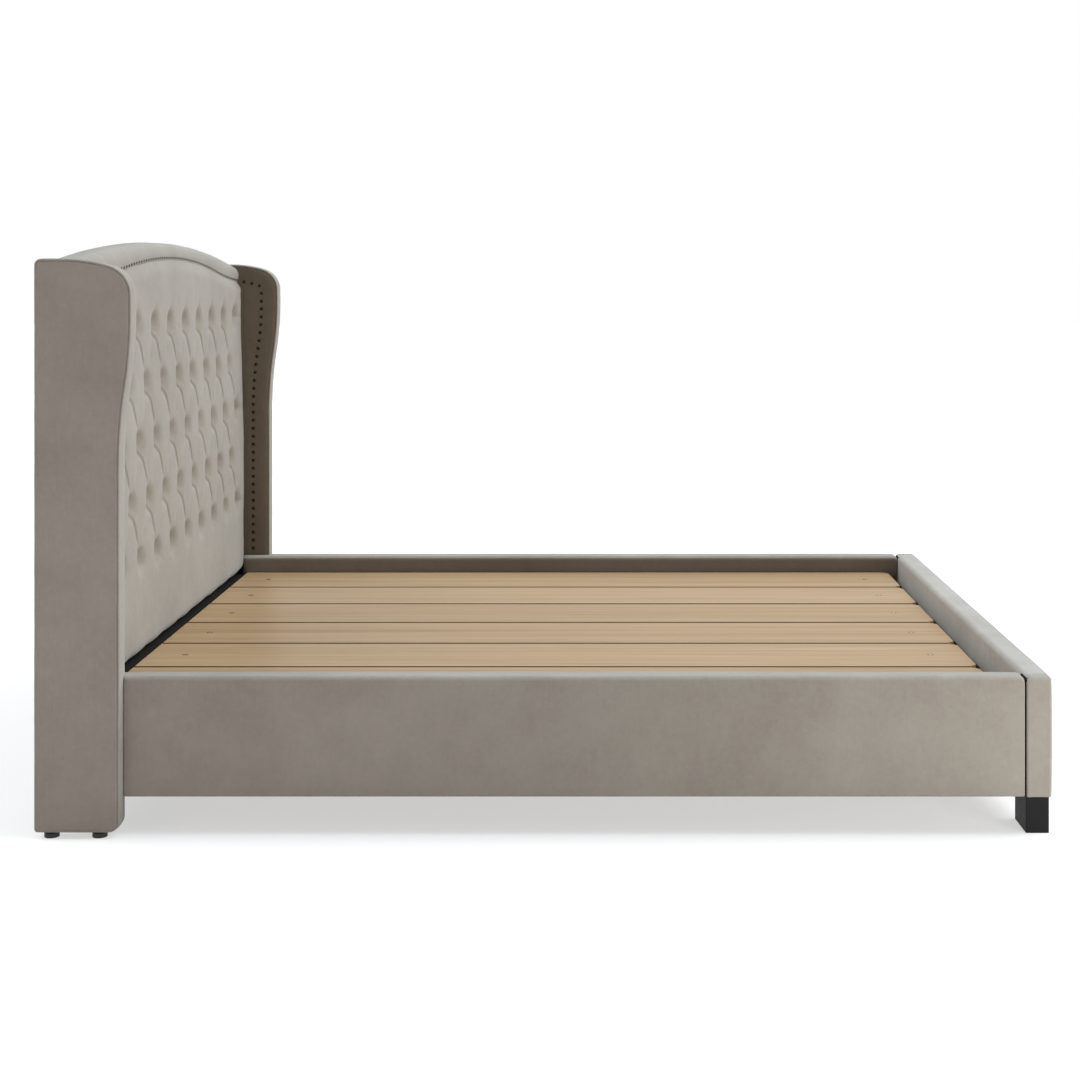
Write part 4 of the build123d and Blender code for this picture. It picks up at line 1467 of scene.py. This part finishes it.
# %% Rounded loops
def rounded_loop(corners, radii, arc_count=7, run_count=6):
    """Points round a loop of corners, each with its own rounding; the same count every time."""
    points = []
    count = len(corners)
    for i in range(count):
        corner = np.array(corners[i], float)
        before = np.array(corners[i - 1], float) - corner
        after = np.array(corners[(i + 1) % count], float) - corner
        before /= np.linalg.norm(before)
        after /= np.linalg.norm(after)
        radius = radii[i]
        middle = corner + radius * (before + after)
        for angle in np.linspace(0, math.pi / 2, arc_count):
            points.append(middle - radius * (after * math.cos(angle) + before * math.sin(angle)))
        finish = np.array(corners[(i + 1) % count], float) - after * radii[(i + 1) % count]
        start = points[-1]
        for share in np.linspace(0, 1, run_count + 2)[1:-1]:
            points.append(start + share * (finish - start))
    return np.array(points)


print("loop test", rounded_loop([(0, 0), (1, 0), (1, 1), (0, 1)], [0.1] * 4).shape)

# %% Rail cloth
rail_low, rail_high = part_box("rail_cover_near")
rail_outside = -rail_low.y
rail_inside = -rail_high.y
rail_bottom = rail_low.z
rail_top = rail_high.z
rail_head_x = rail_low.x
wing_clearance = 0.0003
rail_wing_x = wing_front_x + wing_clearance
flap_height = 0.065
flap_bottom = rail_top - flap_height
flap_step = 0.005
fold_edge = 0.001
rail_bottom_rounding = 0.005
shoulder_distances = (0.0004, 0.001, 0.002, 0.0034, 0.005)
shoulder_rounding = 0.005
rail_outer_rounding = 0.009
rail_inner_rounding = 0.013
rail_end_rounding = 0.011
rail_end_softness = 0.0022
rail_end_reach = 0.0012
rail_foot_x = rail_high.x + rail_end_reach
rail_straight_start = 0.012
rail_straight_gap = 0.026
rail_section_count = 166
rail_free_start = (0.002, 0.05)
rail_free_end = (0.008, 0.05)
rail_face_reach = 0.006
rail_wave_size = 0.16
wave_stretch = np.array([1, 1, 0.5])
nearest_to_end = 0.00005
flap_turn = 0.002
rail_crown = 0.0016
rail_face_wave = 0.0009
rail_top_crown = 0.0008
rail_top_wave = 0.0012


def drop_at_end(distance, radius):
    """How far a rounded corner of this radius falls away, at a distance from the end."""
    inward = np.clip(radius - distance, 0, radius)
    return radius - math.sqrt(radius ** 2 - inward ** 2)


def rail_loop(outside, top, pinch):
    """(y, z) round the rail's section on the +Y side, drawn in all round by a pinch."""
    inside = rail_inside + pinch
    outer = outside - pinch
    low = rail_bottom + pinch
    corners = [(inside, flap_bottom), (inside, top), (outer, top), (outer, low),
               (rail_inside + flap_step, low), (rail_inside + flap_step, flap_bottom)]
    radii = [fold_edge, rail_inner_rounding, rail_outer_rounding, rail_bottom_rounding,
             fold_edge, fold_edge]
    return rounded_loop(corners, radii, run_count=8)


def rail_stations():
    """(x, outside, top, pinch) of every section along the rail."""
    stations = [(x, headboard_half, rail_top, 0.0)
                for x in np.linspace(rail_head_x, rail_wing_x - shoulder_distances[0], 8)]
    for distance in shoulder_distances:
        pinch = drop_at_end(distance, shoulder_rounding)
        stations.append((rail_wing_x + distance, rail_outside - pinch, rail_top, 0.0))
    straight = (rail_wing_x + rail_straight_start, rail_foot_x - rail_straight_gap)
    for x in np.linspace(*straight, rail_section_count):
        stations.append((x, rail_outside, rail_top, 0.0))
    turned = rail_end_rounding * (1 - np.sin(np.linspace(0, math.pi / 2, 14)))
    for distance in turned[:-1]:
        distance = max(distance, nearest_to_end)
        top = rail_top - drop_at_end(distance, rail_end_rounding)
        pinch = drop_at_end(distance, rail_end_softness)
        stations.append((rail_foot_x - distance, rail_outside, top, pinch))
    return stations


def make_rail(side, name):
    """The cloth of one side rail."""
    sections = []
    for x, outside, top, pinch in rail_stations():
        loop = rail_loop(outside, top, pinch)
        sections.append(np.stack([np.full(len(loop), x), side * loop[:, 0], loop[:, 1]], axis=-1))
    points, faces = loft(sections)
    free = ease(points[:, 0] - rail_wing_x, *rail_free_start)
    free = free * ease(rail_foot_x - points[:, 0], *rail_free_end)
    full = swell(points[:, 2], rail_bottom, rail_top)
    on_face = at_face(np.abs(points[:, 1]), rail_outside, rail_face_reach)
    waves = 0.5 * wander(points * wave_stretch, rail_wave_size, 41 + side)
    points[:, 1] += side * on_face * free * full * (rail_crown + rail_face_wave * waves)
    on_top = at_face(points[:, 2], rail_top)
    points[:, 2] += on_top * free * (rail_top_crown + rail_top_wave * waves)
    made = make_piece(f"rail_cloth_{name}", points, faces, upholstery,
                      [f"rail_cover_{name}", f"rail_padding_{name}"])
    # The inner flap takes the half-dark copy of the cloth: painted shade on the rail's inside.
    give_faces_second_finish(made, painted_half_shade_cloth, lambda face: abs(face.center.y) < rail_inside + flap_turn)
    return made


for side, name in ((-1, "near"), (1, "far")):
    make_rail(side, name)

# %% [markdown]
# Footboard
#
# The footboard is wrapped the same way, with softly rounded corners all round. Its cloth is
# pulled under and ends in a narrow hem, inside which the board shows from below. A seam crosses
# the top near each end. On the inside, the cloth stops a little below the slats, and black lining
# covers the rest and the parts behind the rails' ends: a dark sheet that paints the shade in the
# corners and joints. The top and the inside above the lining take the lighter copy of the cloth,
# which is painted light. The sweep runs across the bed, and the last few sections shrink to round
# both ends.

# %% Footboard cloth
foot_low, foot_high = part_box("footboard_cover")
foot_rounding = 0.0075
foot_inner_rounding = 0.0125
foot_hem = 0.004
foot_seam_inset = 0.027
foot_seam_depth = 0.0016
seam_width = 0.0012
foot_crown = 0.003
foot_face_wave = 0.0005
foot_top_crown = 0.001
foot_top_wave = 0.0006
foot_wave_size = 0.17
foot_front_reach = (0.012, 0.004)
foot_back_reach = 0.005
foot_free_end = (0.008, 0.06)
foot_end_steps = (foot_rounding + 0.006, 0.017)
seam_steps = np.array([-3, -2, -1.2, -0.6, 0, 0.6, 1.2, 2, 3])
foot_section_gap = 0.01
foot_section_count = 132
hem_start = (0.003, 0.006)
least_hem = 0.0002
inner_face_depth = 0.004
shade_lining_edge = 0.002
inner_crown_share = 0.5
end_crown_share = 0.6
cloth_below_slats = 0.033
shade_lining_top = slat_high.z - cloth_below_slats


def footboard_loop(pinch, hem_height):
    """(x, z) round the footboard's section, drawn in by a pinch at its sides and top."""
    back = foot_low.x + pinch
    front = foot_high.x - pinch
    top = foot_high.z - pinch
    low = foot_low.z
    corners = [(back, low), (back, shade_lining_top), (back, top), (front, top), (front, low),
               (front - foot_hem, low), (front - foot_hem, low + hem_height),
               (back + foot_hem, low + hem_height), (back + foot_hem, low)]
    hem_rounding = hem_height / 5
    radii = [fold_edge, fold_edge / 2, foot_inner_rounding, foot_rounding, fold_edge]
    radii += [hem_rounding] * 4
    return rounded_loop(corners, radii, run_count=10)


def make_footboard():
    """The cloth of the footboard."""
    turn = foot_rounding * (1 - np.cos(np.linspace(0, math.pi / 2, 9)))
    half = foot_high.y
    ends = np.concatenate([turn, foot_end_steps, foot_seam_inset + seam_steps * seam_width])
    reach = half - ends[-1] - foot_section_gap
    inner = np.linspace(-reach, reach, foot_section_count)
    across = np.concatenate([-half + ends, inner, (half - ends)[::-1]])
    sections = []
    for y in across:
        end_gap = half - abs(y)
        hem_height = max(foot_hem * float(ease(end_gap, *hem_start)), least_hem)
        loop = footboard_loop(drop_at_end(end_gap, foot_rounding), hem_height)
        sections.append(np.stack([loop[:, 0], np.full(len(loop), y), loop[:, 1]], axis=-1))
    points, faces = loft(sections)
    free = ease(half - np.abs(points[:, 1]), *foot_free_end)
    waves = wander(points * wave_stretch, foot_wave_size, 51)
    fullness = swell(points[:, 2], foot_low.z, foot_high.z) * (foot_crown + foot_face_wave * waves)
    outward = fullness * (end_crown_share + (1 - end_crown_share) * free)
    points[:, 0] += at_face(points[:, 0], foot_high.x, *foot_front_reach) * outward
    inward = fullness * free * inner_crown_share
    points[:, 0] -= at_face(-points[:, 0], -foot_low.x, foot_back_reach) * inward
    on_top = at_face(points[:, 2], foot_high.z)
    points[:, 2] += on_top * free * (foot_top_crown + foot_top_wave * waves)
    from_seam = (half - np.abs(points[:, 1]) - foot_seam_inset) / seam_width
    points[:, 2] -= on_top * foot_seam_depth * np.exp(-from_seam ** 2)
    made = make_piece("footboard_cloth", points, faces, upholstery,
                      ["footboard_cover"])
    seam_y = half - foot_seam_inset
    # The top and the inside above the lining take the lighter copy of the cloth: painted light.
    give_faces_second_finish(made, painted_light_cloth, lambda face: face.center.x < foot_high.x - foot_rounding
                and abs(face.center.y) < seam_y and face.center.z > shade_lining_top)
    # Black lining below the slats and behind the rails' ends: painted shade in the corners and
    # joints.
    give_faces_second_finish(made, lining, lambda face: face.center.x < foot_low.x + inner_face_depth
                and (face.center.z < shade_lining_top or abs(face.center.y) > rail_inside)
                and abs(face.center.y) < rail_outside - shade_lining_edge)
    return made


make_footboard()

# %% [markdown]
# Back of the headboard
#
# The back is closed with the same cloth, stretched over a thin panel and blind-tacked at its
# edges, which leaves a slight ridge round it and faint pulls. Its top follows the nail line.

# %% Back cloth
back_low, back_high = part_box("headboard_back_panel")
hem_ridge = 0.0009
hem_ridge_inset = 0.01
hem_ridge_width = 0.004
back_margin = 0.03
back_hollow = 0.0012
back_pull = 0.0005
back_pull_size = 0.07
back_pull_stretch = np.array([1, 1, 0.3])
back_edge_turn = 0.0016
back_edge_reach = 0.004
back_offsets = np.array([0, 0.0015, 0.004, 0.008, 0.012, 0.016, 0.022])
back_column_count = 110
back_row_count = 66


def make_back_cloth():
    """The cloth on the back of the headboard."""
    half = back_high.y
    inner = np.linspace(back_margin - half, half - back_margin, back_column_count)
    across = np.concatenate([back_offsets - half, inner, (half - back_offsets)[::-1]])
    top = nail_line(across)
    low = back_low.z + back_margin
    rows = [back_low.z + offset + 0 * across for offset in back_offsets]
    rows += [low + share * (top - back_margin - low)
             for share in np.linspace(0, 1, back_row_count)]
    rows += [top - offset for offset in back_offsets[::-1]]
    z = np.array(rows)
    y = np.broadcast_to(across, z.shape)
    rim = np.minimum(half - np.abs(y), np.minimum(z - back_low.z, top - z))
    turned_in = back_edge_turn * ease(-rim, -back_edge_reach, 0)
    ridge = hem_ridge * np.exp(-((rim - hem_ridge_inset) / hem_ridge_width) ** 2) + turned_in
    flat = np.stack([0 * y, y, z], axis=-1).reshape(-1, 3)
    pulls = wander(flat * back_pull_stretch, back_pull_size, 61).reshape(y.shape)
    dip = back_hollow + back_pull * pulls * ease(rim, 0.01, 0.04) - ridge * (rim > back_edge_reach)
    x = back_low.x + np.maximum(dip, 0) + turned_in
    points, faces = close_sheet(np.stack([x, y, z], axis=-1), 0, back_high.x)
    return make_piece("headboard_back_cloth", points, faces, upholstery,
                      ["headboard_back_panel"])


make_back_cloth()
